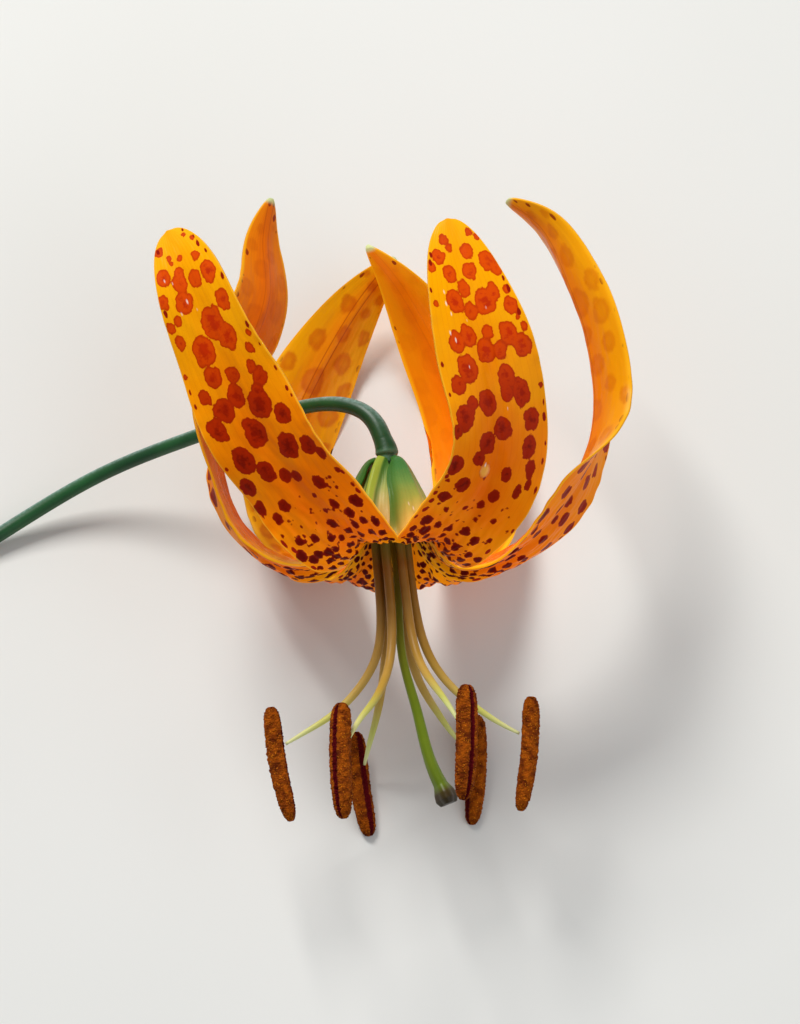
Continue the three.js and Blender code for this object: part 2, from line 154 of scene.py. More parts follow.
def piece(node, points, faces, materials, fields, second=None):
    """A mesh object from points in the flower's frame that stands for a CAD node and rides on the
    flower. fields are its numbers for each vertex, and second says which faces take the second
    material."""
    mesh = bpy.data.meshes.new(node + "_fine")
    mesh.from_pydata(lie_down(points.reshape(-1, 3)), [], faces)
    mesh.polygons.foreach_set("use_smooth", np.ones(len(mesh.polygons), bool))
    for material in materials:
        mesh.materials.append(material)
    if second is not None:
        mesh.polygons.foreach_set("material_index", np.asarray(second, np.int32))
    for key, value in fields.items():
        field = mesh.attributes.new(key, "FLOAT", "POINT")
        field.data.foreach_set("value", np.asarray(value, np.float32).ravel())
    made = add_object(node + "_fine", mesh)
    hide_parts(node)
    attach(made, "root")
    return made


def tube(curve, s, sides, first_side, section):
    """Rings along a route. The side vector is carried along with no turning about the route, and
    section(s, angle) gives how far a ring stands out along it and across it."""
    run = heading(curve, s)
    side = np.empty_like(run)
    carried = np.asarray(first_side, float)
    for i, forward in enumerate(run):
        carried = unit(carried - forward * (carried @ forward))
        side[i] = carried
    across = np.cross(run, side)
    angle = np.arange(sides) / sides * 2 * np.pi
    u, v = section(s[:, None], angle[None, :])
    return curve(s)[:, None, :3] + u[..., None] * side[:, None] + v[..., None] * across[:, None]


def closed_tube(rings):
    """A tube's points and faces, with a fan over each end."""
    rows, sides, _ = rings.shape
    faces = grid_faces(rows, sides, wrap=True).tolist()
    first = rows * sides
    around = np.arange(sides)
    following = (around + 1) % sides
    start = np.stack([np.full(sides, first), following, around], -1)
    end = np.stack([np.full(sides, first + 1), first - sides + around, first - sides + following], -1)
    points = np.concatenate([rings.reshape(-1, 3), [rings[0].mean(0), rings[-1].mean(0)]])
    return points, faces + start.tolist() + end.tolist()


def tube_piece(node, rings, material, fields):
    """A closed tube as a piece. fields gives, by name, one value for each ring or for each of its
    points, and the two values at the tube's ends."""
    points, faces = closed_tube(rings)
    values = {
        key: np.append(np.broadcast_to(value.reshape(len(value), -1), rings.shape[:2]), ends)
        for key, (value, ends) in fields.items()
    }
    return piece(node, points, faces, [material], values)


print("a grid of 3 by 3 points has", len(grid_faces(3, 3)), "cells")

# %% [markdown]
# ## The camera
# The photograph looks at the hanging flower from the side, a little from below its mouth. The
# flower lies on its back here, so the same view looks down on it. A long lens keeps the lines
# nearly parallel, as in a close-up from some distance.
# %% Camera
VIEW_TILT = np.radians(12)
CAMERA_DISTANCE = 0.576
PICTURE_CENTRE = [1.05, 7.776, 1.653]

camera = add_object("camera", bpy.data.cameras.new("camera"))
camera.data.lens = 135
camera.data.sensor_width = 36
camera.data.clip_end = 20
target = Vector(lie_down(PICTURE_CENTRE))
towards = Vector((0, -np.sin(LEAN + VIEW_TILT), np.cos(LEAN + VIEW_TILT)))
camera.location = target + CAMERA_DISTANCE * towards
camera.rotation_euler = (-towards).to_track_quat("-Z", "Y").to_euler()
bpy.context.scene.camera = camera
print("camera at", tuple(round(x, 3) for x in camera.location))

# %% [markdown]
# ## Floor and light
# The floor is a plain pale sheet. The light is that of a bright shaded garden: one very large
# soft source above the flower's upper left, a weaker one from the lower right, and a pale sky.
# %% Floor and lights
FLOOR_SIZE = 6.0
SKY_STRENGTH = 0.3
LIGHTS = {
    "key": {"at": (-0.3, 0.65, 0.8), "size": 0.4, "watts": 9.6, "tint": (1.0, 0.98, 0.95)},
    "fill": {"at": (0.6, -0.35, 0.6), "size": 0.8, "watts": 2.6, "tint": (0.94, 0.97, 1.0)},
}


def add_light(name, at, size, watts, tint):
    """A square area light that looks at the flower."""
    data = bpy.data.lights.new(name, "AREA")
    data.shape = "SQUARE"
    data.size = size
    data.energy = watts
    data.color = tint
    lamp = add_object(name, data)
    lamp.location = at
    lamp.rotation_euler = (target - Vector(at)).to_track_quat("-Z", "Y").to_euler()


for light_name, facts in LIGHTS.items():
    add_light(light_name, **facts)

world = bpy.data.worlds.new("sky")
world.use_nodes = True
world.node_tree.nodes["Background"].inputs["Color"].default_value = (0.93, 0.97, 1.0, 1)
world.node_tree.nodes["Background"].inputs["Strength"].default_value = SKY_STRENGTH
bpy.context.scene.world = world
bpy.context.scene.view_settings.view_transform = "Standard"
print("lights:", list(LIGHTS))

# %% [markdown]
# ## Small words for shader nodes
# A material is a net of nodes. These helpers add one node each and return what comes out of it,
# so that a material reads as a few lines of sums. Colours are written as on a screen, from 0 to
# 255, and turned into the linear light that the shader works with.
# %% Node helpers
def rgb(red, green, blue):
    """A screen colour as linear light."""
    screen = np.array([red, green, blue]) / 255
    linear = np.where(screen <= 0.04045, screen / 12.92, ((screen + 0.055) / 1.055) ** 2.4)
    return (*linear.tolist(), 1.0)


def feed(tree, socket, given):
    """Links a socket to another node's output, or sets its value."""
    if isinstance(given, bpy.types.NodeSocket):
        tree.links.new(given, socket)
    else:
        socket.default_value = given


def sums(tree, operation, a, b=0.0, clamp=False):
    """One sum of two numbers."""
    node = tree.nodes.new("ShaderNodeMath")
    node.operation = operation
    node.use_clamp = clamp
    feed(tree, node.inputs[0], a)
    feed(tree, node.inputs[1], b)
    return node.outputs[0]


def times(tree, a, b):
    return sums(tree, "MULTIPLY", a, b)


def plus(tree, a, b):
    return sums(tree, "ADD", a, b)


def minus(tree, a, b):
    return sums(tree, "SUBTRACT", a, b)


def size_of(tree, a):
    return sums(tree, "ABSOLUTE", a)


def remap(tree, value, low, high, first=0.0, last=1.0):
    """A smooth step: first below low, last above high."""
    node = tree.nodes.new("ShaderNodeMapRange")
    node.interpolation_type = "SMOOTHSTEP"
    for name, given in zip(("Value", "From Min", "From Max", "To Min", "To Max"),
                           (value, low, high, first, last)):
        feed(tree, node.inputs[name], given)
    return node.outputs[0]


def blend(tree, share, a, b, kind="MIX"):
    """Colour a with a share of colour b."""
    node = tree.nodes.new("ShaderNodeMix")
    node.data_type = "RGBA"
    node.blend_type = kind
    node.clamp_factor = True
    feed(tree, node.inputs[0], share)
    feed(tree, node.inputs[6], a)
    feed(tree, node.inputs[7], b)
    return node.outputs[2]


def ramp(tree, value, stops):
    """Colours along a number from 0 to 1."""
    node = tree.nodes.new("ShaderNodeValToRGB")
    elements = node.color_ramp.elements
    while len(elements) < len(stops):
        elements.new(0.5)
    for element, (place, colour) in zip(elements, stops):
        element.position = place
        element.color = colour
    feed(tree, node.inputs[0], value)
    return node.outputs[0]


def noise(tree, scale, detail=3.0, where=None, roughness=0.55):
    """A cloudy number round 0.5. scale is in cells to the metre of object space."""
    node = tree.nodes.new("ShaderNodeTexNoise")
    feed(tree, node.inputs["Vector"], where or object_space(tree))
    node.inputs["Scale"].default_value = scale
    node.inputs["Detail"].default_value = detail
    node.inputs["Roughness"].default_value = roughness
    return node.outputs[0]


def object_space(tree):
    return tree.nodes.new("ShaderNodeTexCoord").outputs["Object"]


def kept(tree, name):
    """A number that the piece keeps for each vertex."""
    node = tree.nodes.new("ShaderNodeAttribute")
    node.attribute_name = name
    return node.outputs["Fac"]


def new_group(name, inputs, outputs):
    """An empty shader node group with named number and colour sockets."""
    tree = bpy.data.node_groups.new(name, "ShaderNodeTree")
    for socket, kind in inputs:
        tree.interface.new_socket(socket, in_out="INPUT", socket_type="NodeSocket" + kind)
    for socket, kind in outputs:
        tree.interface.new_socket(socket, in_out="OUTPUT", socket_type="NodeSocket" + kind)
    return tree, tree.nodes.new("NodeGroupInput").outputs, tree.nodes.new("NodeGroupOutput").inputs


def use(tree, group, **given):
    """Places a group in a material with its own values."""
    node = tree.nodes.new("ShaderNodeGroup")
    node.node_tree = group
    for name, value in given.items():
        feed(tree, node.inputs[name.replace("_", " ")], value)
    return node.outputs


def finish(name, colour, roughness, height=None, relief=0.0, **constants):
    """A material of one Principled BSDF: what changes over the surface is linked, what doesn't is
    set on the shader's own sockets. relief is the height's full range in metres."""
    material = bpy.data.materials.new(name)
    material.use_nodes = True
    tree = material.node_tree
    shader = tree.nodes["Principled BSDF"]
    feed(tree, shader.inputs["Base Color"], colour(tree))
    feed(tree, shader.inputs["Roughness"], roughness(tree) if callable(roughness) else roughness)
    for socket, value in constants.items():
        feed(tree, shader.inputs[socket.replace("_", " ")], value(tree) if callable(value) else value)
    if height:
        bump = tree.nodes.new("ShaderNodeBump")
        bump.inputs["Distance"].default_value = relief
        feed(tree, bump.inputs["Height"], height(tree))
        tree.links.new(bump.outputs[0], shader.inputs["Normal"])
    return material


print("orange in linear light:", [round(x, 3) for x in rgb(250, 160, 20)])

# %% [markdown]
# ## Effects that several finishes share
# Three effects come back on most of the flower, so each is a node group. *Patch* turns a distance
# in millimetres into a crisp mark with a wandering edge. *Skin* is the fine relief of living
# cells. *Veins* are the thin lines that run along a tepal or a filament.
# %% Shared groups
PATCH, given, result = new_group(
    "patch", [("Distance", "Float"), ("Wobble", "Float"), ("Softness", "Float")], [("Mask", "Float")]
)
wander = minus(PATCH, noise(PATCH, 1300, 3), 0.5)
edge = plus(PATCH, given["Distance"], times(PATCH, wander, given["Wobble"]))
start = times(PATCH, given["Softness"], -0.5)
end = times(PATCH, given["Softness"], 0.5)
feed(PATCH, result["Mask"], minus(PATCH, 1.0, remap(PATCH, edge, start, end)))

SKIN, given, result = new_group("skin", [], [("Height", "Float"), ("Cloud", "Float")])
cells = noise(SKIN, 2600, 2)
waves = noise(SKIN, 420, 2)
relief = plus(SKIN, times(SKIN, cells, 0.4), times(SKIN, waves, 0.6))
feed(SKIN, result["Height"], relief)
feed(SKIN, result["Cloud"], noise(SKIN, 90, 3))

VEINS, given, result = new_group(
    "veins", [("Across", "Float"), ("Along", "Float"), ("Count", "Float")], [("Line", "Float")]
)
drift = VEINS.nodes.new("ShaderNodeCombineXYZ")
feed(VEINS, drift.inputs[0], times(VEINS, given["Across"], 2.5))
feed(VEINS, drift.inputs[1], times(VEINS, given["Along"], 5.0))
stray = minus(VEINS, noise(VEINS, 1, 2, drift.outputs[0]), 0.5)
place_across = plus(VEINS, times(VEINS, given["Across"], given["Count"]), stray)
feed(VEINS, result["Line"], sums(VEINS, "PINGPONG", place_across, 0.5))


def mark(tree, distance, wobble, softness):
    return use(tree, PATCH, Distance=distance, Wobble=wobble, Softness=softness)["Mask"]


def cloud(tree):
    return use(tree, SKIN)["Cloud"]


def skin_height(tree):
    return use(tree, SKIN)["Height"]


def blade_veins(tree):
    """The fine veins along a tepal, eight to its half-width."""
    return use(tree, VEINS, Across=kept(tree, "across"), Along=kept(tree, "along"), Count=8.0)["Line"]


print("groups:", [tree.name for tree in bpy.data.node_groups])

# %% [markdown]
# ## The shape of a tepal
# A tepal is a strap that starts as a narrow channelled claw, widens into a blade and ends in a
# rounded or pointed tip. It could be a subdivided plane pushed about by hand. Here the midline is
# a route, and the blade stands off it by a few laws: how wide it is, how deep its channel and its
# middle fold are, and how far its margins wave.
# %% The laws of a blade
THICKNESS = {"middle": 0.85, "margin": 0.34}
HALF_WIDTH = {
    "inner": [
        [0, 0.09], [0.011, 0.16], [0.023, 0.24], [0.05, 0.36], [0.077, 0.42], [0.1, 0.45], [0.137, 0.48],
        [0.18, 0.51], [0.26, 0.75], [0.4, 0.94], [0.56, 1], [0.75, 0.98], [1, 0.86],
    ],
    "outer": [
        [0, 0.07], [0.01, 0.16], [0.026, 0.31], [0.053, 0.44], [0.077, 0.52], [0.1, 0.56], [0.147, 0.6],
        [0.19, 0.62], [0.26, 0.76], [0.4, 0.94], [0.56, 1], [0.75, 0.98], [1, 0.86],
    ],
}
FLARE = [[0.13, 0], [0.19, 1], [0.25, 0.9], [0.32, 0.4], [0.44, 0]]
APRON = [[0.1, 0], [0.15, 1], [0.2, 1], [0.3, 0]]
APRON_SPREAD = 0.3
TIP_FROM = 0.58
TIP_END = 0.4
CURVATURE = {
    "inner": [[0, 0.3], [0.05, 0.29], [0.077, 0.23], [0.1, 0.2], [0.14, 0.15], [0.24, 0.03], [0.45, 0.012],
              [0.8, 0.02], [1, 0.05]],
    "outer": [[0, 0.3], [0.026, 0.3], [0.053, 0.22], [0.077, 0.18], [0.1, 0.16], [0.147, 0.12], [0.24, 0.03],
              [0.45, 0.012], [0.8, 0.02], [1, 0.05]],
}
CLAW_KEEL = {
    "inner": [[0, 0.3], [0.02, 0.9], [0.1, 0.85], [0.15, 0]],
    "outer": [[0, 0.2], [0.1, 0.25], [0.15, 0]],
}
KEEL_WIDTH = [[0, 0.65], [0.1, 0.65], [0.16, 1.4]]
KEEL_START = [[0.1, 0], [0.16, 1]]
FOLD = [[0, 0], [0.12, 0.1], [0.25, 0.75], [0.5, 0.45], [0.85, 0.2], [1, 0]]
WAVE = [[0, 0], [0.14, 0.1], [0.22, 0.7], [0.4, 0.75], [0.7, 0.6], [0.92, 0.25], [1, 0]]
CRUMPLE = [[0.12, 0], [0.17, 1], [0.26, 0.8], [0.4, 0.15], [1, 0.08]]
CRUMPLE_HEIGHT = 0.24
CRISP_HEIGHT = 0.1

CLAW = {
    "inner": [[1.5, 16], [1.9, 15.2], [2.3, 14.3], [3.3, 12], [4.3, 9.8], [4.9, 7.8], [5.7, 4.4]],
    "outer": [[1.6, 16], [2.5, 15.65], [3.35, 14.7], [4.5, 12.6], [5.55, 10.6], [6.3, 8.5], [7.45, 4.4]],
}
BELL_LEAN = [[1, 0], [11, -0.9]]
FLAT = [[0, 0], [1, 0]]

TEPALS = [
    {
        "name": "tepal_inner_front_left", "layer": "inner", "claw": -33.5, "half": 8.4, "flare": 0.15,
        "narrow": 0.16, "blunt": 1, "keel": 0.45, "waves": 3.6, "phase": 0.1, "cup": FLAT,
        "roll": [[0.13, 0], [0.2, 34], [0.3, 20], [0.42, 0]], "apron": [0, 1.7],
        "path": [
            [-5.2, 1.4, 9.2, -28], [-8.7, 2.9, 13.7, -24], [-14.4, 8.8, 17.5, -22], [-20.5, 17.7, 20.2, -22],
            [-26.4, 29.8, 22.4, -24], [-31.4, 42, 21.8, -26], [-33.2, 46.2, 19.4, -28],
        ],
    },
    {
        "name": "tepal_outer_front_right", "layer": "outer", "claw": 44.5, "half": 7.8, "flare": 0.1,
        "narrow": 0, "blunt": 0.9, "keel": 0.3, "waves": 3.1, "phase": 0.55, "cup": FLAT,
        "roll": [[0.175, 0], [0.24, -31], [0.3, -24], [0.4, 0]], "apron": [2.5, 0],
        "path": [
            [6.45, 1.5, 8.85, 36], [9.4, 2.7, 13.6, 25], [13.6, 7.5, 18.2, 22], [15.4, 14.2, 22, 25],
            [14.5, 22.2, 25, 21], [11.3, 33.8, 26.6, 12], [7.9, 46.4, 25.4, 4],
        ],
    },
    {
        "name": "tepal_inner_right", "layer": "inner", "claw": 102, "half": 7.6, "flare": -0.14,
        "narrow": 0, "blunt": 0.8, "keel": 0.45, "waves": 3.4, "phase": 0.3,
        "cup": [[0.42, 0], [0.5, 0.03], [0.6, 0.12], [0.8, 0.12], [0.95, 0.05]],
        "roll": [[0.22, 0], [0.32, -13], [0.44, -15], [0.56, 0]],
        "path": [
            [8.8, 0.2, -1.6, 93], [13.4, -0.4, -0.6, 92], [20, 2.8, 0.4, 89], [27.2, 11, 0, 94],
            [31.2, 20.8, -1, 96], [31.4, 29.1, -2, 98], [29.6, 38.8, -3, 102], [26.6, 47, -4, 106],
            [23, 54.2, -5, 108], [17.6, 58.6, -6, 110],
        ],
    },
    {
        "name": "tepal_outer_left", "layer": "outer", "claw": 262, "half": 7.8, "flare": 0,
        "narrow": 0, "blunt": 0.4, "keel": 0.3, "waves": 3.2, "phase": 0.8,
        "cup": [[0.4, 0], [0.5, 0.05], [0.6, 0.05], [0.75, 0]], "roll": FLAT,
        "path": [
            [-10.2, 0.6, -1.4, 265], [-14.4, -0.6, -0.2, 270], [-22.2, 4, 0, 271], [-26.4, 13, -0.4, 268],
            [-27, 21.5, -1, 259], [-24.6, 30.1, -3.2, 246], [-21.4, 38, -5.6, 232], [-19.8, 45.2, -7.6, 226],
            [-20.2, 52.5, -9, 222], [-19, 60, -9.6, 220],
        ],
    },
    {
        "name": "tepal_inner_back_left", "layer": "inner", "claw": 210, "half": 7.5, "flare": 0,
        "narrow": 0, "blunt": 0.5, "keel": 0.6, "waves": 3.3, "phase": 0.45, "cup": FLAT, "roll": FLAT,
        "path": [
            [-5.6, -0.2, -9.3, 210], [-10.6, 3, -16.5, 208], [-16, 13, -23.8, 206], [-16.7, 25, -28.5, 202],
            [-13.1, 35.2, -29.8, 196], [-8.6, 43.4, -29, 190], [-4, 50, -27, 186], [0.3, 54.6, -24.4, 184],
        ],
    },
    {
        "name": "tepal_outer_back_right", "layer": "outer", "claw": 156, "half": 7.4, "flare": 0,
        "narrow": 0, "blunt": 0.3, "keel": 0.35, "waves": 3, "phase": 0.95, "cup": FLAT, "roll": FLAT,
        "path": [
            [5, -0.4, -9.5, 152], [9.8, 3, -16.5, 152], [13, 13, -24, 154], [12.4, 25, -28.4, 158],
            [9.4, 35.2, -29.2, 164], [5, 44, -27.4, 170], [0.4, 50.6, -22.4, 176], [-4, 54, -15.6, 180],
        ],
    },
]


def midline(blade):
    """A tepal's whole midline: the claw's distances from the bell's leaning axis and heights, turned
    to its azimuth, and then the blade's own path."""
    azimuth = np.radians(blade["claw"])
    claw = [
        [law(BELL_LEAN, height) + radius * np.sin(azimuth), height, radius * np.cos(azimuth), blade["claw"]]
        for radius, height in CLAW[blade["layer"]]
    ]
    return route(claw + blade["path"])


def blade_width(blade, s):
    """Half the blade's width: its law, flared out of the bell, and narrowed towards the tip by one
    minus a power of the share of the tip that is passed, so that a blunt tip stays wide for longer."""
    tip = np.maximum(0, (s - TIP_FROM) / (1 - TIP_FROM))
    taper = np.maximum(1 - tip ** (1.2 + 1.8 * blade["blunt"]), 0) ** (0.95 - 0.45 * blade["blunt"])
    step = np.clip((s - 0.45) / 0.35, 0, 1)
    slim = 1 - blade["narrow"] * step * step * (3 - 2 * step)
    wide = blade["half"] * soft_law(HALF_WIDTH[blade["layer"]], s, 0.015)
    wide = wide * (1 + blade["flare"] * soft_law(FLARE, s, 0.015))
    return wide * slim * taper + TIP_END * (1 - taper)


def apron(blade, s, u):
    """How much lower in mm one side of a blade hangs at the mouth of the bell: the law of the place
    times a smooth step from the middle to the outer third."""
    left, right = blade.get("apron", [0, 0])
    step = np.clip(np.abs(u) / 0.7, 0, 1)
    return np.where(u > 0, right, left) * step * step * (3 - 2 * step) * soft_law(APRON, s, 0.015)[:, None]


def across_blade(blade, s, u):
    """How far in mm each place lies off the midline."""
    return u * (blade_width(blade, s)[:, None] + apron(blade, s, u) * APRON_SPREAD)


def blade_faces(blade, s, u):
    """The inner and the outer face on a grid of places s along and shares u of the half-width
    across. Across, the blade is an arc of a circle of radius 1 over the curvature. Off that arc it
    sinks by the fold at the middle, and rises by the wave, which grows with the cube of u, by the
    crumple, whose furrows are two sines across the throat that wander along it, and by a fine
    crisping of the very margin. The keel is on the outer face."""
    length, curve = midline(blade)
    run = heading(curve, s)
    middle = curve(s)
    facing = np.radians(middle[:, 3])
    side = np.stack([np.cos(facing), 0 * facing, -np.sin(facing)], -1)
    side = unit(side - run * (side * run).sum(-1, keepdims=True))
    roll = np.radians(soft_law(blade["roll"], s))[:, None]
    side = side * np.cos(roll) + np.cross(run, side) * np.sin(roll)
    up = np.cross(side, run)
    along = s[:, None]
    off = across_blade(blade, s, u)
    curvature = soft_law(CURVATURE[blade["layer"]], along, 0.015) + soft_law(blade["cup"], along)
    bend = curvature * off
    ridge = np.exp(-((off / soft_law(KEEL_WIDTH, along)) ** 2))
    turn = 2 * np.pi * (blade["waves"] * along + blade["phase"] + 0.37 * (u > 0))
    wave = soft_law(WAVE, along) * np.abs(u) ** 3 * np.sin(turn)
    stray = 1.7 * np.sin(along * 55 + blade["phase"] * 6) + blade["phase"] * 9
    furrow = np.sin(off * 2.4 + stray) + 0.6 * np.sin(off * 5 - 1.4 * stray)
    crumple = CRUMPLE_HEIGHT * soft_law(CRUMPLE, along) * furrow * (1 - u**4)
    crisp = CRISP_HEIGHT * np.sin(turn * 4.7 + 3 * np.sin(turn * 1.3)) * np.abs(u) ** 8
    crisp = crisp * soft_law(WAVE, along)
    lift = wave + crumple + crisp - soft_law(FOLD, along) * ridge
    thick = THICKNESS["middle"] + (THICKNESS["margin"] - THICKNESS["middle"]) * u**2
    keel = blade["keel"] * law(KEEL_START, along) * (1 - along**4)
    keel = soft_law(CLAW_KEEL[blade["layer"]], along, 0.015) + keel
    upwards = up[:, None] * np.cos(bend)[..., None] - side[:, None] * np.sin(bend)[..., None]
    root = middle[:, None, :3] + side[:, None] * (np.sin(bend) / curvature)[..., None]
    root = root + up[:, None] * ((1 - np.cos(bend)) / curvature)[..., None]
    root[..., 1] -= apron(blade, s, u)
    inner = root + upwards * (lift + thick / 2)[..., None]
    outer = root + upwards * (lift - thick / 2 - keel * ridge)[..., None]
    return inner, outer


print("widest blade:", round(2 * max(blade_width(b, np.linspace(0, 1, 99)).max() for b in TEPALS), 1), "mm")

# %% [markdown]
# ## Where the spots are
# The inner faces carry maroon spots: tiny and crowded in the throat, then larger, lobed and
# further apart, and near the tips so large that they run together into orange-red blotches. Small
# long dots sit along both margins and also show on the back. A texture could hold them, but a rule
# does it better. The blotches that give the two front blades their face are listed one by one, in
# millimetres on the flattened blade. Darts fill the rest, every spot gets a few lobes, and every
# vertex keeps its distance in millimetres to the nearest edge. The material draws a crisp line
# where that distance is zero, however coarse the mesh is.
# %% Spots listed and by a rule
SPACING = [
    [0.06, 0.8], [0.13, 0.82], [0.2, 0.98], [0.27, 1.45], [0.34, 2.3], [0.45, 3.3], [0.6, 4], [0.8, 4.2],
    [0.9, 3.2], [1, 2.4],
]
RADIUS = [
    [0.06, 0.24], [0.13, 0.36], [0.19, 0.42], [0.25, 0.58], [0.34, 0.85], [0.45, 1.15], [0.6, 1.5],
    [0.8, 1.8], [0.9, 1], [0.97, 0.5],
]
STRETCH = {"spots": 1.35, "dots": 2.2, "painted_glints": 3.0, "drop": 1.4}
DARTS = 4500
SPECKS = 60
LOBES = 5
BY_HAND_FROM = 0.34

PLACED = {
    "tepal_inner_front_left": [
        [73, -2.5, 0.8], [71, -1.5, 0.5], [70, 0, 0.5], [70, -1.5, 0.4], [73.5, 2, 0.4], [72, 3, 0.4],
        [69, 2.5, 0.7], [68.5, -3.5, 1.3], [68, -1, 0.9], [66.5, -1.5, 1.3], [66, 1, 1.2], [66, 3.5, 1.4],
        [63.5, -2, 1.5], [65, -5, 1], [61.5, 4, 1.3], [61.5, -4, 0.8], [61, -5.5, 0.8], [59, 1, 2.2],
        [56.5, 2.5, 1.7], [58.5, -5, 1], [56, -2, 2], [53.5, 5, 0.8], [55.5, 6, 0.5], [51, 4, 0.9],
        [52, -2.5, 1.5], [51, 0.5, 1.2], [49, 4.5, 1.3], [48, -0.5, 1.5], [45.5, 2.5, 2.1], [50, -5, 1],
        [47, -3, 1.7], [42.5, 5, 1.5], [42, -0.5, 1.9], [45, -5.5, 1.5], [38, 3, 1.8], [36.5, 6, 1.4],
        [39.5, -4.5, 1.9], [36.5, -2.5, 1.5], [34.5, -0.5, 1], [33.5, 1, 0.9], [36, -6.5, 1.3], [32.5, -7, 1],
        [31, -3.5, 0.9], [30, -5.5, 0.8], [34.5, 7, 0.9], [31, 3.5, 1], [27, 3, 0.7],
    ],
    "tepal_outer_front_right": [
        [71, 2.5, 0.6], [70, 3.5, 0.5], [70.5, -1.5, 0.8], [69, -1, 0.6], [68, 1.5, 1.1], [68, -3, 1.1],
        [66.5, -4.5, 0.8], [66, 4, 1.4], [64.5, 5, 1], [65, -2, 1.2], [65, 1, 1.2], [62.5, -0.5, 1.1],
        [60, 2, 1.8], [61, -2.5, 1.5], [61, 3.5, 1.2], [59, -0.5, 1.2], [61, 5.5, 0.6], [58.5, 5.5, 1.2],
        [56.5, 6, 0.4], [55, 6.5, 0.6], [55.5, -2, 1.4], [53, 0, 1.6], [55.5, 1, 1], [54.5, 4, 1.6],
        [52.5, 5.5, 1.5], [52.5, 2, 1.2], [55, -4, 1.4], [51, -3.5, 1.8], [48.8, 2.1, 1.5],
        [46.2, 3.9, 1.6], [46.4, 1.7, 1.2], [49, -5.5, 1.3],
        [45.5, -1.5, 1.7], [46, -4, 1], [44, -5.5, 1.8], [41.5, 0.5, 1.5], [42.4, 5.2, 1.35], [42, -7, 1],
        [39.5, -2, 1.5], [38.9, 4.8, 1.25], [37, -3, 1.1], [35.5, -6.5, 1.6], [36.2, 5.4, 0.9], [35, 2, 0.9],
        [34.2, 5.7, 0.6], [32, -4, 1.2], [33, 4.5, 0.8], [28.5, -5.5, 1], [31.5, 1.5, 0.9], [29.5, 0.5, 0.6],
    ],
}
# Thin streaks painted near-white as glints off wet patches, and the one standing drop, as mm along, mm across
# and radius.
PAINTED_GLINTS = {
    "tepal_inner_front_left": [
        [68, -3.5, 0.13], [63.5, -1.5, 0.16], [62.2, -3, 0.13], [67, -2.5, 0.11], [61.8, -0.5, 0.11],
        [11, 2.6, 0.14], [11.8, 2.2, 0.1],
    ],
    "tepal_outer_front_right": [
        [62.5, -3.7, 0.13], [60.8, -3.9, 0.15], [59.2, -3.6, 0.13], [56.6, -4.6, 0.15], [55.4, -4.1, 0.16],
        [59, 1.8, 0.12], [57.8, -1.6, 0.11], [51.2, -3.2, 0.11], [36, -1.7, 0.16], [44.2, 1.5, 0.11],
        [9.6, -1.4, 0.12], [10.4, -0.8, 0.14], [8.8, -1.9, 0.1], [11.2, -1.7, 0.12], [11.4, -0.2, 0.1],
    ],
}
DROPS = {"tepal_outer_front_right": [[35, -1.5, 0.9]]}


def throw_darts(blade, length, rng):
    """Spot middles as mm along, mm across and radius: a dart stays if it is further from the others
    than the spacing law says, with lengths along the blade counted less than across. Between
    spots that were listed, only small ones stay."""
    spots = np.array(PLACED.get(blade["name"], []), float).reshape(-1, 3)
    by_hand = len(spots)
    for _ in range(DARTS):
        s = rng.uniform(0.25, 0.97) ** 1.6
        room = blade_width(blade, np.array([s]))[0]
        radius = law(RADIUS, s) * rng.uniform(0.7, 1.2)
        if by_hand and s > BY_HAND_FROM:
            radius = rng.uniform(0.2, 0.5)
        c = rng.uniform(-1, 1) * max(room - 0.6 * radius - 0.3, 0.1)
        apart = np.hypot((spots[:, 0] - s * length) / STRETCH["spots"], spots[:, 1] - c)
        needed = law(SPACING, s) * rng.uniform(0.7, 1.05)
        if s > 0.3:
            needed = np.maximum(needed, spots[:, 2] + radius + 0.35)
        if (apart > needed).all():
            spots = np.vstack([spots, [s * length, c, radius]])
    return spots


def throw_specks(blade, length, rng):
    """A sprinkling of tiny specks low on a front blade."""
    if blade["name"] not in PLACED:
        return np.empty((0, 3))
    s = rng.uniform(0.23, 0.42, SPECKS)
    across = rng.uniform(-0.75, 0.75, SPECKS) * blade_width(blade, s)
    return np.stack([s * length, across, rng.uniform(0.1, 0.2, SPECKS)], -1)


def with_lobes(spots, rng):
    """Each spot as a few round lobes about its middle, which is itself a little smaller."""
    lobes = [spots * [1, 1, 0.86]]
    for _ in range(LOBES):
        angle = rng.uniform(0, 2 * np.pi, len(spots))
        reach = spots[:, 2] * rng.uniform(0.35, 0.65, len(spots))
        size = spots[:, 2] * rng.uniform(0.34, 0.5, len(spots))
        along = spots[:, 0] + STRETCH["spots"] * reach * np.cos(angle)
        lobes.append(np.stack([along, spots[:, 1] + reach * np.sin(angle), size], -1))
    return np.concatenate(lobes)


def margin_dots(blade, length, rng):
    """A loose row of small long dots just inside each margin, in groups with gaps between."""
    dots = []
    for sign in (-1, 1):
        s = 0.1
        while s < 0.97:
            s += rng.choice([1.6, 4, 11], p=[0.3, 0.35, 0.35]) * rng.uniform(0.7, 1.4) / length
            size = rng.uniform(0.1, 0.3)
            room = blade_width(blade, np.array([min(s, 1)]))[0]
            dots.append([s * length, sign * (room - 0.15 - size * rng.uniform(0.9, 2.4)), size])
    return np.array(dots)


def distance_field(marks, along, across, stretch):
    """The distance in mm to the nearest mark's edge, less than zero inside: for a mark of radius r
    it is the stretched distance to its middle minus r."""
    nearest = np.full(along.shape, 9.0)
    for a, c, r in marks:
        nearest = np.minimum(nearest, np.hypot((along - a) / stretch, across - c) - r)
    return nearest


print("spots placed by hand:", {name: len(spots) for name, spots in PLACED.items()})
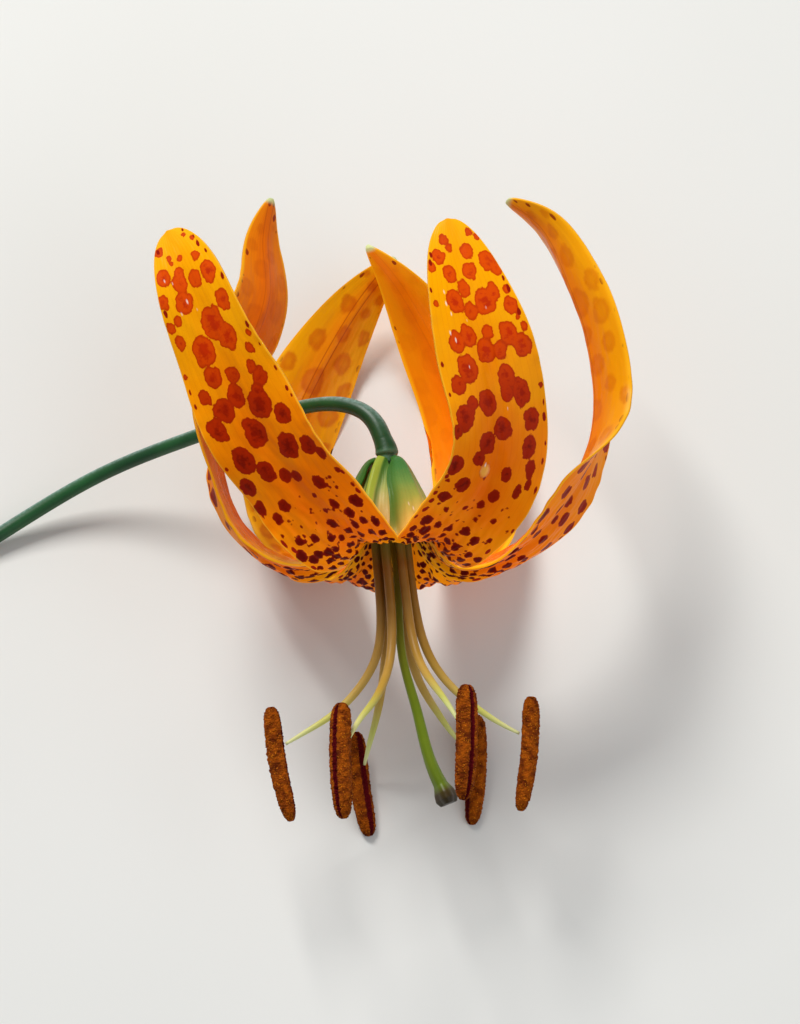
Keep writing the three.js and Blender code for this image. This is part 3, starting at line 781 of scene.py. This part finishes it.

# %% [markdown]
# ## The finish of the inner face
# The inner face is waxy and glows yellow-orange, deeper towards the throat. Fine veins run along
# it. A spot has a thin darker rim, a body and a still darker core. All three are redder and
# lighter towards the tip, so a ramp for each reads the place along the blade. A few thin streaks
# are painted near-white as glints off wet patches, and one drop stands as a low dome under a clear
# coat, its inside painted lighter. Light also comes through the thin blade. Real transmission would
# be lost when the finish is baked, so the light is a faint emission of the blade's own colour.
# %% Inner face
def petal_ground(tree):
    """The colour between the spots: a ramp along the blade, deeper in the middle, with veins."""
    along = kept(tree, "along")
    ground = ramp(tree, along, [
        (0, rgb(80, 126, 60)), (0.07, rgb(130, 150, 60)), (0.12, rgb(226, 156, 20)),
        (0.19, rgb(240, 152, 2)), (0.26, rgb(240, 108, 0)), (0.5, rgb(244, 124, 0)),
        (0.75, rgb(250, 156, 0)), (0.9, rgb(252, 170, 0)), (1, rgb(252, 176, 16)),
    ])
    middle = remap(tree, size_of(tree, kept(tree, "across")), 0.0, 0.75, 0.6, 0.0)
    low = remap(tree, along, 0.35, 0.95, 1.0, 0.25)
    ground = blend(tree, times(tree, middle, low), ground, rgb(222, 82, 0))
    thin = remap(tree, blade_veins(tree), 0.0, 0.12, 0.16, 0.0)
    ground = blend(tree, thin, ground, rgb(206, 84, 4))
    return blend(tree, remap(tree, cloud(tree), 0.35, 0.75, 0.0, 0.3), ground, rgb(250, 180, 12))


def inner_colour(tree):
    along = kept(tree, "along")
    spots = kept(tree, "spots")
    rim = ramp(tree, along, [
        (0.1, rgb(56, 3, 3)), (0.28, rgb(116, 14, 2)), (0.42, rgb(146, 24, 2)), (0.62, rgb(164, 36, 2)),
        (0.76, rgb(190, 52, 0)), (0.92, rgb(200, 60, 4)), (1, rgb(190, 58, 20)),
    ])
    body = ramp(tree, along, [
        (0.1, rgb(44, 1, 2)), (0.24, rgb(64, 3, 2)), (0.36, rgb(112, 12, 1)), (0.5, rgb(158, 30, 0)),
        (0.62, rgb(180, 42, 0)), (0.74, rgb(216, 70, 0)), (0.92, rgb(224, 78, 4)), (1, rgb(200, 66, 16)),
    ])
    core = ramp(tree, along, [
        (0.1, rgb(30, 0, 2)), (0.4, rgb(76, 4, 1)), (0.58, rgb(124, 14, 1)), (0.74, rgb(186, 32, 2)),
        (1, rgb(178, 36, 16)),
    ])
    marks = mark(tree, spots, 0.6, 0.14)
    inside = mark(tree, plus(tree, spots, 0.2), 0.5, 0.36)
    deep = mark(tree, plus(tree, spots, 0.9), 2.6, 0.8)
    dots = mark(tree, kept(tree, "dots"), 0.3, 0.1)
    coloured = blend(tree, inside, rim, body)
    coloured = blend(tree, times(tree, deep, 0.75), coloured, core)
    coloured = blend(tree, marks, petal_ground(tree), coloured)
    coloured = blend(tree, dots, coloured, rgb(146, 22, 6))
    edge = remap(tree, size_of(tree, kept(tree, "across")), 0.97, 0.992, 0.0, 0.55)
    coloured = blend(tree, edge, coloured, rgb(252, 190, 50))
    # The standing drop's inside is painted a lighter yellow, standing in for the light gathered through the
    # water.
    coloured = blend(tree, remap(tree, kept(tree, "drop"), -0.5, 0.02, 0.6, 0.0), coloured, rgb(252, 190, 70))
    # Painted highlight: near-white glints where thin wet streaks would catch the light.
    return blend(tree, times(tree, painted_glints(tree), 0.7), coloured, rgb(255, 240, 228))


# The share of the painted near-white glints, from the distance to the nearest wet streak.
def painted_glints(tree):
    return remap(tree, kept(tree, "painted_glints"), -0.08, 0.03, 1.0, 0.0)


def dome(tree):
    """A low dome over the standing drop: the square root of the depth inside its edge."""
    return sums(tree, "POWER", sums(tree, "MULTIPLY", kept(tree, "drop"), -1.0, clamp=True), 0.5)


def petal_height(tree):
    """Relief: faint veins, skin cells, and the dome of the standing drop."""
    plain = plus(tree, times(tree, blade_veins(tree), 0.3), times(tree, skin_height(tree), 0.5))
    return plus(tree, plain, times(tree, dome(tree), 4.0))


def petal_gloss(tree):
    return remap(tree, cloud(tree), 0.35, 0.7, 0.3, 0.44)


def petal_glow(tree):
    """The light that comes through a blade: its own colour, by the share that the blade keeps."""
    return blend(tree, kept(tree, "glow"), rgb(0, 0, 0), inner_colour(tree))


def petal_coat(tree):
    return remap(tree, kept(tree, "drop"), -0.1, 0.02, 1.0, 0.0)


INNER_FACE = finish("tepal inner face", inner_colour, petal_gloss, petal_height, 0.00009,
                    Specular_IOR_Level=0.05, Coat_Weight=petal_coat, Coat_Roughness=0.03,
                    Emission_Color=petal_glow, Emission_Strength=0.28)
print("material:", INNER_FACE.name)

# %% [markdown]
# ## The finish of the outer face
# From behind, a tepal is plainer: the spots only show through as soft darker clouds, the midrib
# is a double shiny line, and the margins are yellow with a few dots. The claws that close the bell
# differ. All are green above and orange at the foot; the outer ones are painted darker green
# towards their sides as shade in the grooves of the bell, and the inner ones have a light keel
# with painted dark green shade in the groove beside it. At the very tip sits a pale green point.
# %% Outer face
CLAW_COLOURS = {
    "inner": [
        (0, rgb(60, 110, 44)), (0.03, rgb(106, 142, 66)), (0.07, rgb(160, 170, 88)),
        (0.11, rgb(184, 166, 92)), (0.15, rgb(178, 132, 60)), (0.19, rgb(232, 136, 12)),
        (0.3, rgb(228, 118, 2)), (0.7, rgb(228, 134, 0)), (1, rgb(238, 156, 6)),
    ],
    "outer": [
        (0, rgb(52, 104, 50)), (0.04, rgb(74, 128, 64)), (0.075, rgb(108, 146, 70)),
        (0.11, rgb(156, 164, 72)), (0.145, rgb(218, 184, 90)), (0.185, rgb(236, 156, 34)),
        (0.21, rgb(232, 120, 2)), (0.7, rgb(226, 122, 0)), (1, rgb(238, 156, 6)),
    ],
}


def outer_colour(layer):
    """The colour of the outer face in one layer of tepals."""
    def colour(tree):
        along = kept(tree, "along")
        away = size_of(tree, kept(tree, "across"))
        off = kept(tree, "off")
        blade = ramp(tree, kept(tree, "ripe"), CLAW_COLOURS[layer])
        sunny = times(tree, kept(tree, "sunny"), remap(tree, along, 0.3, 0.5))
        blade = blend(tree, sunny, blade, rgb(232, 160, 0))
        grown = remap(tree, along, 0.13, 0.22)
        middle = remap(tree, away, 0.1, 0.75, 0.5, 0.0)
        blade = blend(tree, times(tree, grown, middle), blade, rgb(222, 88, 0))
        claw = remap(tree, along, 0.13, 0.19, 1.0, 0.0)
        if layer == "inner":
            low = remap(tree, along, 0.1, 0.14, 1.0, 0.0)
            keel = times(tree, low, remap(tree, off, 0.55, 0.85, 1.0, 0.0))
            blade = blend(tree, keel, blade, rgb(150, 170, 60))
            # Painted shade: dark green in the grooves on both sides of the light keel, low on the claw.
            groove_shade = times(tree, remap(tree, off, 0.6, 0.9), remap(tree, off, 0.95, 1.7, 0.75, 0.0))
            blade = blend(tree, times(tree, groove_shade, claw), blade, rgb(48, 92, 22))
        else:
            # Painted shade: the claw turns dark green towards its sides, as shade in the grooves where it
            # meets its neighbours.
            side = times(tree, remap(tree, away, 0.45, 0.9, 0.0, 0.85), claw)
            blade = blend(tree, side, blade, rgb(52, 100, 30))
        ghost = mark(tree, kept(tree, "spots"), 0.6, 0.55)
        faint = mark(tree, plus(tree, kept(tree, "spots"), 0.7), 0.6, 0.7)
        rings = minus(tree, ghost, times(tree, faint, 0.3))
        shown = times(tree, kept(tree, "ghosts"), grown)
        blade = blend(tree, times(tree, rings, shown), blade, rgb(194, 80, 0))
        rib = size_of(tree, minus(tree, off, 0.5))
        lines = times(tree, remap(tree, rib, 0.03, 0.14, 1.0, 0.0), shown)
        blade = blend(tree, lines, blade, rgb(166, 62, 0))
        dots = mark(tree, kept(tree, "dots"), 0.3, 0.12)
        blade = blend(tree, times(tree, dots, times(tree, grown, 0.9)), blade, rgb(136, 24, 6))
        edge = remap(tree, away, 0.86, 0.97, 0.0, 0.8)
        blade = blend(tree, times(tree, grown, edge), blade, rgb(248, 176, 16))
        # Painted highlight: the same near-white glints off wet streaks as on the inner face.
        blade = blend(tree, times(tree, painted_glints(tree), 0.7), blade, rgb(255, 240, 228))
        return blend(tree, remap(tree, along, 0.986, 0.997), blade, rgb(206, 214, 150))
    return colour


def outer_glow(layer):
    colour = outer_colour(layer)
    return lambda tree: blend(tree, kept(tree, "glow"), rgb(0, 0, 0), colour(tree))


def outer_gloss(tree):
    return remap(tree, cloud(tree), 0.3, 0.7, 0.24, 0.42)


OUTER_FACES = {
    layer: finish(f"outer face, {layer} tepal", outer_colour(layer), outer_gloss, petal_height, 0.00009,
                  Specular_IOR_Level=0.12, Emission_Color=outer_glow(layer), Emission_Strength=0.38)
    for layer in ("inner", "outer")
}
print("materials:", [material.name for material in OUTER_FACES.values()])

# %% [markdown]
# ## The tepals themselves
# Each tepal gets about three hundred stations along and ninety points across, on both faces.
# More stations stand near the claw, where the spots are small. A last band of faces closes the
# margin all round.
# %% Build the tepals
STATIONS = 340
ACROSS_POINTS = 89
# How far a tepal's outer colours are stretched along, how strongly its spots show through, how
# yellow it is and how much light comes through it: the usual values, and where a tepal has others.
USUAL = {"ripe": 1, "ghosts": 0.42, "sunny": 0, "glow": 0.2}
OTHER = {
    "tepal_inner_right": {"ripe": 1.1, "sunny": 0.5},
    "tepal_outer_left": {"ripe": 0.62, "ghosts": 0.34, "glow": 0},
    "tepal_inner_back_left": {"ghosts": 0.62, "sunny": 0.9, "glow": 0.1},
    "tepal_outer_back_right": {"ghosts": 0.16, "glow": 0.7},
}
THROAT_GLOW = {"at": 0.25, "reach": 0.13, "strength": 0.7}


def tepal_faces(rows, columns):
    """The inner grid, the outer grid turned round, and the bands that join them at the margins."""
    grid = grid_faces(rows, columns)
    back = rows * columns
    outer = grid[:, ::-1] + back
    index = np.arange(back).reshape(rows, columns)
    left, right, start, end = index[:, 0], index[:, -1], index[0], index[-1]
    bands = [
        np.stack([left[:-1], left[1:], left[1:] + back, left[:-1] + back], -1),
        np.stack([right[:-1], right[:-1] + back, right[1:] + back, right[1:]], -1),
        np.stack([start[:-1], start[:-1] + back, start[1:] + back, start[1:]], -1),
        np.stack([end[:-1], end[1:], end[1:] + back, end[:-1] + back], -1),
    ]
    return np.concatenate([grid, outer, *bands]), len(grid)


def build_tepal(blade, seed):
    """A tepal's two faces with all that its finish reads, each number given at every point."""
    rng = np.random.default_rng(seed)
    length, _ = midline(blade)
    t = np.linspace(0, 1, STATIONS)
    s = t - 0.25 * np.sin(np.pi * t) / np.pi - 0.02 * np.sin(2 * np.pi * t)
    u = np.sin(np.linspace(-1, 1, ACROSS_POINTS) * np.pi / 2 * 0.85) / np.sin(np.pi / 2 * 0.85)
    inner, outer = blade_faces(blade, s, u)
    look = USUAL | OTHER.get(blade["name"], {})
    place = s[:, None] + 0 * u
    across = across_blade(blade, s, u)
    spots = np.vstack([with_lobes(throw_darts(blade, length, rng), rng), throw_specks(blade, length, rng)])
    marks = {
        "spots": spots,
        "dots": margin_dots(blade, length, rng),
        "painted_glints": PAINTED_GLINTS.get(blade["name"], []),
        "drop": DROPS.get(blade["name"], []),
    }
    throat = np.exp(-(((place - THROAT_GLOW["at"]) / THROAT_GLOW["reach"]) ** 2))
    fields = {
        "along": place,
        "ripe": place * look["ripe"],
        "ghosts": look["ghosts"] + 0 * place,
        "sunny": look["sunny"] + 0 * place,
        "across": u + 0 * place,
        "off": np.abs(across),
        "glow": look["glow"] + THROAT_GLOW["strength"] * throat,
    }
    for key, placed in marks.items():
        fields[key] = distance_field(placed, place * length, across, STRETCH[key])
    faces, first_outer = tepal_faces(len(s), len(u))
    return piece(
        blade["name"], np.stack([inner, outer]), faces,
        [INNER_FACE, OUTER_FACES[blade["layer"]]],
        {key: np.stack([field, field]) for key, field in fields.items()},
        np.arange(len(faces)) >= first_outer,
    )


for number, one_blade in enumerate(TEPALS):
    built = build_tepal(one_blade, 40 + number)
    print(built.name, len(built.data.polygons), "faces")

# %% [markdown]
# ## The pedicel
# The stalk rises from the bell, bends over in a hook and runs off to its cut end. It is a plain
# tube with a swelling where the tepals grow from it. Its skin is dark green, with a speckled pale
# highlight painted along its upper side, where the light falls.
# %% Pedicel
PEDICEL_PATH = [
    [-0.9, 15.45, 0], [-0.9, 16.4, 0], [-1, 17.7, 0], [-1.5, 19.2, 0], [-2.3, 21.2, -0.2], [-3.8, 23.3, -0.8],
    [-7, 25.2, -2.5], [-10.9, 26, -5], [-14.6, 26, -7.5], [-22.9, 25.2, -12],
    [-30.8, 23.5, -16], [-46, 19, -23.2], [-61.9, 10.2, -26.6], [-71.2, 4.2, -26.8],
]
PEDICEL_RADIUS = [
    [0, 0.9], [0.003, 1.3], [0.0155, 1.35], [0.0165, 1.6], [0.02, 1.76], [0.032, 1.62], [0.045, 1.45],
    [0.07, 1.4], [0.11, 1.25], [0.2, 1.1], [0.6, 1.1], [1, 1.15],
]


def round_section(table, lobes=None, reach=0.0):
    """A ring whose radius follows a law, with three lobes where a second law gives them."""
    def section(s, angle):
        radius = soft_law(table, s, reach) if reach else law(table, s)
        if lobes is not None:
            radius = radius * (1 + law(lobes, s) * np.cos(3 * angle))
        return radius * np.cos(angle), radius * np.sin(angle) + 0 * s
    return section


def stem_colour(tree):
    fresh = blend(tree, remap(tree, cloud(tree), 0.3, 0.7), rgb(10, 66, 28), rgb(26, 92, 40))
    speck = remap(tree, noise(tree, 1700, 4), 0.38, 0.7, 0.45, 1.0)
    # Painted highlight: speckled pale blue-white along the side that faces up.
    painted_highlight = times(tree, remap(tree, kept(tree, "lit"), 0.1, 0.95, 0.0, 0.75), speck)
    stem_with_highlight = blend(tree, painted_highlight, fresh, rgb(164, 196, 190))
    return blend(tree, remap(tree, kept(tree, "along"), 0.016, 0.03, 0.4, 0.0), stem_with_highlight, rgb(110, 160, 130))


STEM = finish("green stem", stem_colour, 0.42, skin_height, 0.00005)
_, stem_curve = route(PEDICEL_PATH)
s = np.concatenate([np.linspace(0, 0.05, 40), np.linspace(0.05, 1, 190)[1:]])
rings = tube(stem_curve, s, 32, (0, 0, 1), round_section(PEDICEL_RADIUS))
upper_side = unit(rings - stem_curve(s)[:, None, :3])[..., 1]
stem = tube_piece("pedicel", rings, STEM, {"along": (s, [0, 1]), "lit": (upper_side, [0, 0])})
print(stem.name, len(stem.data.polygons), "faces")

# %% [markdown]
# ## The pistil
# The ovary hides in the bell. The style hangs out of the mouth, thickens slowly and ends in a dark
# stigma with three lobes. It is the same kind of tube, with a law for its lobes.
# %% Pistil
PISTIL_PATH = [
    [-0.9, 14.6, 0], [-0.8, 10, 0], [-0.2, 5, 0], [0.2, 2.6, 0], [0.8, -5.3, 0], [1.5, -14.4, 0],
    [3.5, -21.9, 0], [6.1, -31.1, 0], [7.6, -34.3, 0], [8.3, -36, 0],
]
PISTIL_RADIUS = [
    [0, 0.7], [0.04, 0.95], [0.12, 1.05], [0.18, 0.9], [0.22, 0.68], [0.3, 0.62], [0.6, 0.66],
    [0.85, 0.86], [0.94, 1.05], [0.965, 1.5], [0.985, 1.6], [1, 1.2],
]
PISTIL_LOBES = [[0, 0.06], [0.15, 0.08], [0.24, 0.02], [0.8, 0.02], [0.94, 0.1], [1, 0.2]]


def pistil_colour(tree):
    along = kept(tree, "along")
    style = ramp(tree, along, [
        (0.1, rgb(80, 128, 60)), (0.24, rgb(134, 104, 14)), (0.5, rgb(118, 122, 12)),
        (0.8, rgb(98, 124, 10)), (0.945, rgb(84, 108, 16)), (0.965, rgb(50, 26, 10)), (1, rgb(30, 10, 10)),
    ])
    return blend(tree, remap(tree, cloud(tree), 0.35, 0.75, 0.0, 0.3), style, rgb(150, 150, 40))


PISTIL = finish("pistil", pistil_colour, 0.4, skin_height, 0.00008, Specular_IOR_Level=0.25)
_, pistil_curve = route(PISTIL_PATH)
s = stations(200, 0.75)
rings = tube(pistil_curve, s, 36, (0, 0, 1), round_section(PISTIL_RADIUS, PISTIL_LOBES))
pistil = tube_piece("pistil", rings, PISTIL, {"along": (s, [0, 1])})
print(pistil.name, len(pistil.data.polygons), "faces")

# %% [markdown]
# ## The stamens
# Each stamen is a filament, ochre in the throat and pale green at its thin end, and an anther that
# hangs across it. The anther is an oval pod with a groove down its back and
# its front, and all of it is dusty with rust-brown pollen.
# %% Stamens
STAMENS = [
    {
        "name": "left", "anther": [[-18.1, -21.6, 0], [-15, -38.6, 0]], "back": 84,
        "path": [[-2.7, 12.4, 0], [-2.8, 8, 0], [-1.9, -5.2, 0], [-2.6, -14.2, 0], [-5.3, -19, 0],
                 [-9.4, -23, 0], [-12.8, -25.2, 0]],
    },
    {
        "name": "front_left", "anther": [[-7.4, -23.8, 17.6], [-7, -40.5, 17.2]], "back": 140,
        "path": [[-1.8, 12.4, 1.55], [-1.6, 8, 1.9], [-0.4, -5.6, 2], [-0.4, -14.6, 3.2], [-1.4, -18.9, 6],
                 [-3.2, -23, 10.8], [-4.8, -25.6, 14]],
    },
    {
        "name": "front_right", "anther": [[10.6, -21, 16.8], [10.1, -37.7, 16.4]], "back": 220,
        "path": [[0, 12.4, 1.55], [0.5, 8, 1.9], [2, -5.7, 2.1], [3.6, -14.4, 4], [5.2, -18.2, 7.2],
                 [7, -21.4, 11], [8, -23.2, 13.2]],
    },
    {
        "name": "right", "anther": [[20.5, -20.2, 1], [18.8, -37.2, 1]], "back": 268,
        "path": [[0.9, 12.4, 0], [1.5, 8, 0], [3.1, -5.4, 0.1], [5.6, -14.2, 0.4], [8.9, -18.8, 0.8],
                 [12.4, -21.8, 1], [16, -24.2, 1]],
    },
    {
        "name": "back_right", "anther": [[12.7, -19.8, -18.8], [12, -36.6, -19.6]], "back": 300,
        "path": [[0, 12.4, -1.55], [0.5, 8, -1.9], [1.5, -5, -2.1], [2.9, -14, -4.4], [5, -18.2, -9],
                 [7.4, -21.2, -13.4], [9, -23, -16]],
    },
    {
        "name": "back_left", "anther": [[-5.9, -22.4, -18.9], [-3.6, -38.4, -19]], "back": 40,
        "path": [[-1.8, 12.4, -1.55], [-1.6, 8, -1.9], [-0.9, -5, -2.1], [-1.2, -13.8, -3.6],
                 [-1.9, -18.8, -7.4], [-2.7, -22, -11.4], [-3.6, -24.8, -15]],
    },
]
FILAMENT_RADIUS = [[0, 0.5], [0.1, 0.62], [0.2, 0.7], [0.45, 0.72], [0.75, 0.6], [0.92, 0.4], [1, 0.22]]
FILAMENT_GAP = 0.3
ANTHER = {
    "half_width": 1.6, "half_depth": 1.55, "back_groove": 0.3, "front_groove": 0.35, "bow": 0.5,
    "hangs": 0.32,
}
GIRTH = [
    [0, 0.34], [0.025, 0.64], [0.07, 0.86], [0.16, 0.98], [0.4, 1], [0.7, 0.96], [0.86, 0.86],
    [0.94, 0.7], [0.98, 0.48], [1, 0.22],
]


def outward(azimuth):
    """The direction round the axis, in degrees from the front towards the right."""
    return np.array([np.sin(np.radians(azimuth)), 0, np.cos(np.radians(azimuth))])


def anther_curve(stamen):
    """The anther's midline, which bows away from its back."""
    top, bottom = np.array(stamen["anther"], float)
    bowed = (top + bottom) / 2 - ANTHER["bow"] * outward(stamen["back"])
    return route([top, bowed, bottom])[1]


def filament_curve(stamen):
    """The filament's route, which ends a gap short of the groove in its anther's back."""
    reach = ANTHER["half_depth"] * (1 - ANTHER["back_groove"]) + FILAMENT_GAP + FILAMENT_RADIUS[-1][1]
    tip = anther_curve(stamen)(np.array([ANTHER["hangs"]]))[0] + reach * outward(stamen["back"])
    return route([*stamen["path"], tip.tolist()])[1]


def groove(angle, at, depth, spread):
    """A dip of the given depth about one angle, which fades with the square of the distance."""
    away = np.arctan2(np.sin(angle - at), np.cos(angle - at))
    return depth * np.exp(-((away / spread) ** 2))


def anther_section(s, angle):
    """An oval less a groove at the back and one at the front."""
    back = groove(angle, 0, ANTHER["back_groove"], 0.45)
    front = groove(angle, np.pi, ANTHER["front_groove"], 0.3)
    radius = soft_law(GIRTH, s, 0.012) * (1 - back - front)
    return radius * ANTHER["half_depth"] * np.cos(angle), radius * ANTHER["half_width"] * np.sin(angle)


def filament_colour(tree):
    along = kept(tree, "along")
    colour = ramp(tree, along, [
        (0.12, rgb(80, 128, 60)), (0.28, rgb(128, 78, 8)), (0.5, rgb(166, 116, 30)),
        (0.72, rgb(186, 150, 60)), (0.86, rgb(196, 200, 96)), (1, rgb(226, 234, 170)),
    ])
    return blend(tree, remap(tree, cloud(tree), 0.35, 0.7, 0.0, 0.25), colour, rgb(222, 184, 110))


def grains(tree):
    """The distance from the middle of the nearest pollen grain, for 3800 grains to the metre."""
    node = tree.nodes.new("ShaderNodeTexVoronoi")
    node.inputs["Scale"].default_value = 3800
    tree.links.new(object_space(tree), node.inputs["Vector"])
    return node.outputs["Distance"]


def anther_colour(tree):
    dust = remap(tree, noise(tree, 800, 4), 0.3, 0.7)
    pollen = blend(tree, dust, rgb(96, 34, 2), rgb(172, 84, 6))
    clean = remap(tree, noise(tree, 1500, 2), 0.46, 0.58)
    bright = times(tree, remap(tree, grains(tree), 0.05, 0.4, 1.0, 0.0), clean)
    pollen = blend(tree, bright, pollen, rgb(240, 144, 24))
    return blend(tree, remap(tree, kept(tree, "groove"), 0.35, 0.6), pollen, rgb(84, 2, 10))


def anther_height(tree):
    return minus(tree, 1.0, grains(tree))


FILAMENT = finish("filament", filament_colour, 0.4, skin_height, 0.00006, Specular_IOR_Level=0.3)
POLLEN = finish("anther", anther_colour, 0.9, anther_height, 0.00016, Specular_IOR_Level=0.1)

ANTHER_SIDES = 56
FILAMENT_SIDES = 20
KNOB_SIZE = {"coarse": 0.1, "fine": 0.02}
grain = np.random.default_rng(7)
for stamen in STAMENS:
    s = np.linspace(0, 1, 120)
    section = round_section(FILAMENT_RADIUS, reach=0.03)
    rings = tube(filament_curve(stamen), s, FILAMENT_SIDES, (0, 0, 1), section)
    tube_piece("filament_" + stamen["name"], rings, FILAMENT, {"along": (s, [0, 1])})
    s = stations(170, 0.5)
    rings = tube(anther_curve(stamen), s, ANTHER_SIDES, outward(stamen["back"]), anther_section)
    knobs = grain.normal(0, KNOB_SIZE["coarse"], rings.shape)
    knobs = (knobs + np.roll(knobs, 1, 0) + np.roll(knobs, 1, 1) + np.roll(knobs, (1, 1), (0, 1))) / 4
    knobs = knobs + grain.normal(0, KNOB_SIZE["fine"], rings.shape)
    rings = rings + knobs * (np.minimum(s, 1 - s) > 0.004)[:, None, None]
    angle = np.arange(ANTHER_SIDES) / ANTHER_SIDES * 2 * np.pi
    seam = np.clip(groove(angle, 0, 1, 0.5) + groove(angle, np.pi, 1, 0.35), 0, 1)
    seams = np.tile(seam, (len(s), 1))
    tube_piece("anther_" + stamen["name"], rings, POLLEN, {"groove": (seams, [0, 0])})
print("stamens:", len(STAMENS))

# %% [markdown]
# ## The floor
# A plain pale floor, far larger than the view, so that no edge of it shows.
# %% Floor
def floor_colour(tree):
    return blend(tree, remap(tree, noise(tree, 6, 2), 0.3, 0.7), rgb(226, 226, 222), rgb(231, 231, 228))


corners = np.array([[-1, -1, 0], [1, -1, 0], [1, 1, 0], [-1, 1, 0]]) * FLOOR_SIZE / 2
floor_mesh = bpy.data.meshes.new("floor")
floor_mesh.from_pydata(corners, [], [(0, 1, 2, 3)])
floor_mesh.materials.append(finish("pale floor", floor_colour, 0.7))
floor = add_object("floor", floor_mesh)
print("floor:", FLOOR_SIZE, "m")
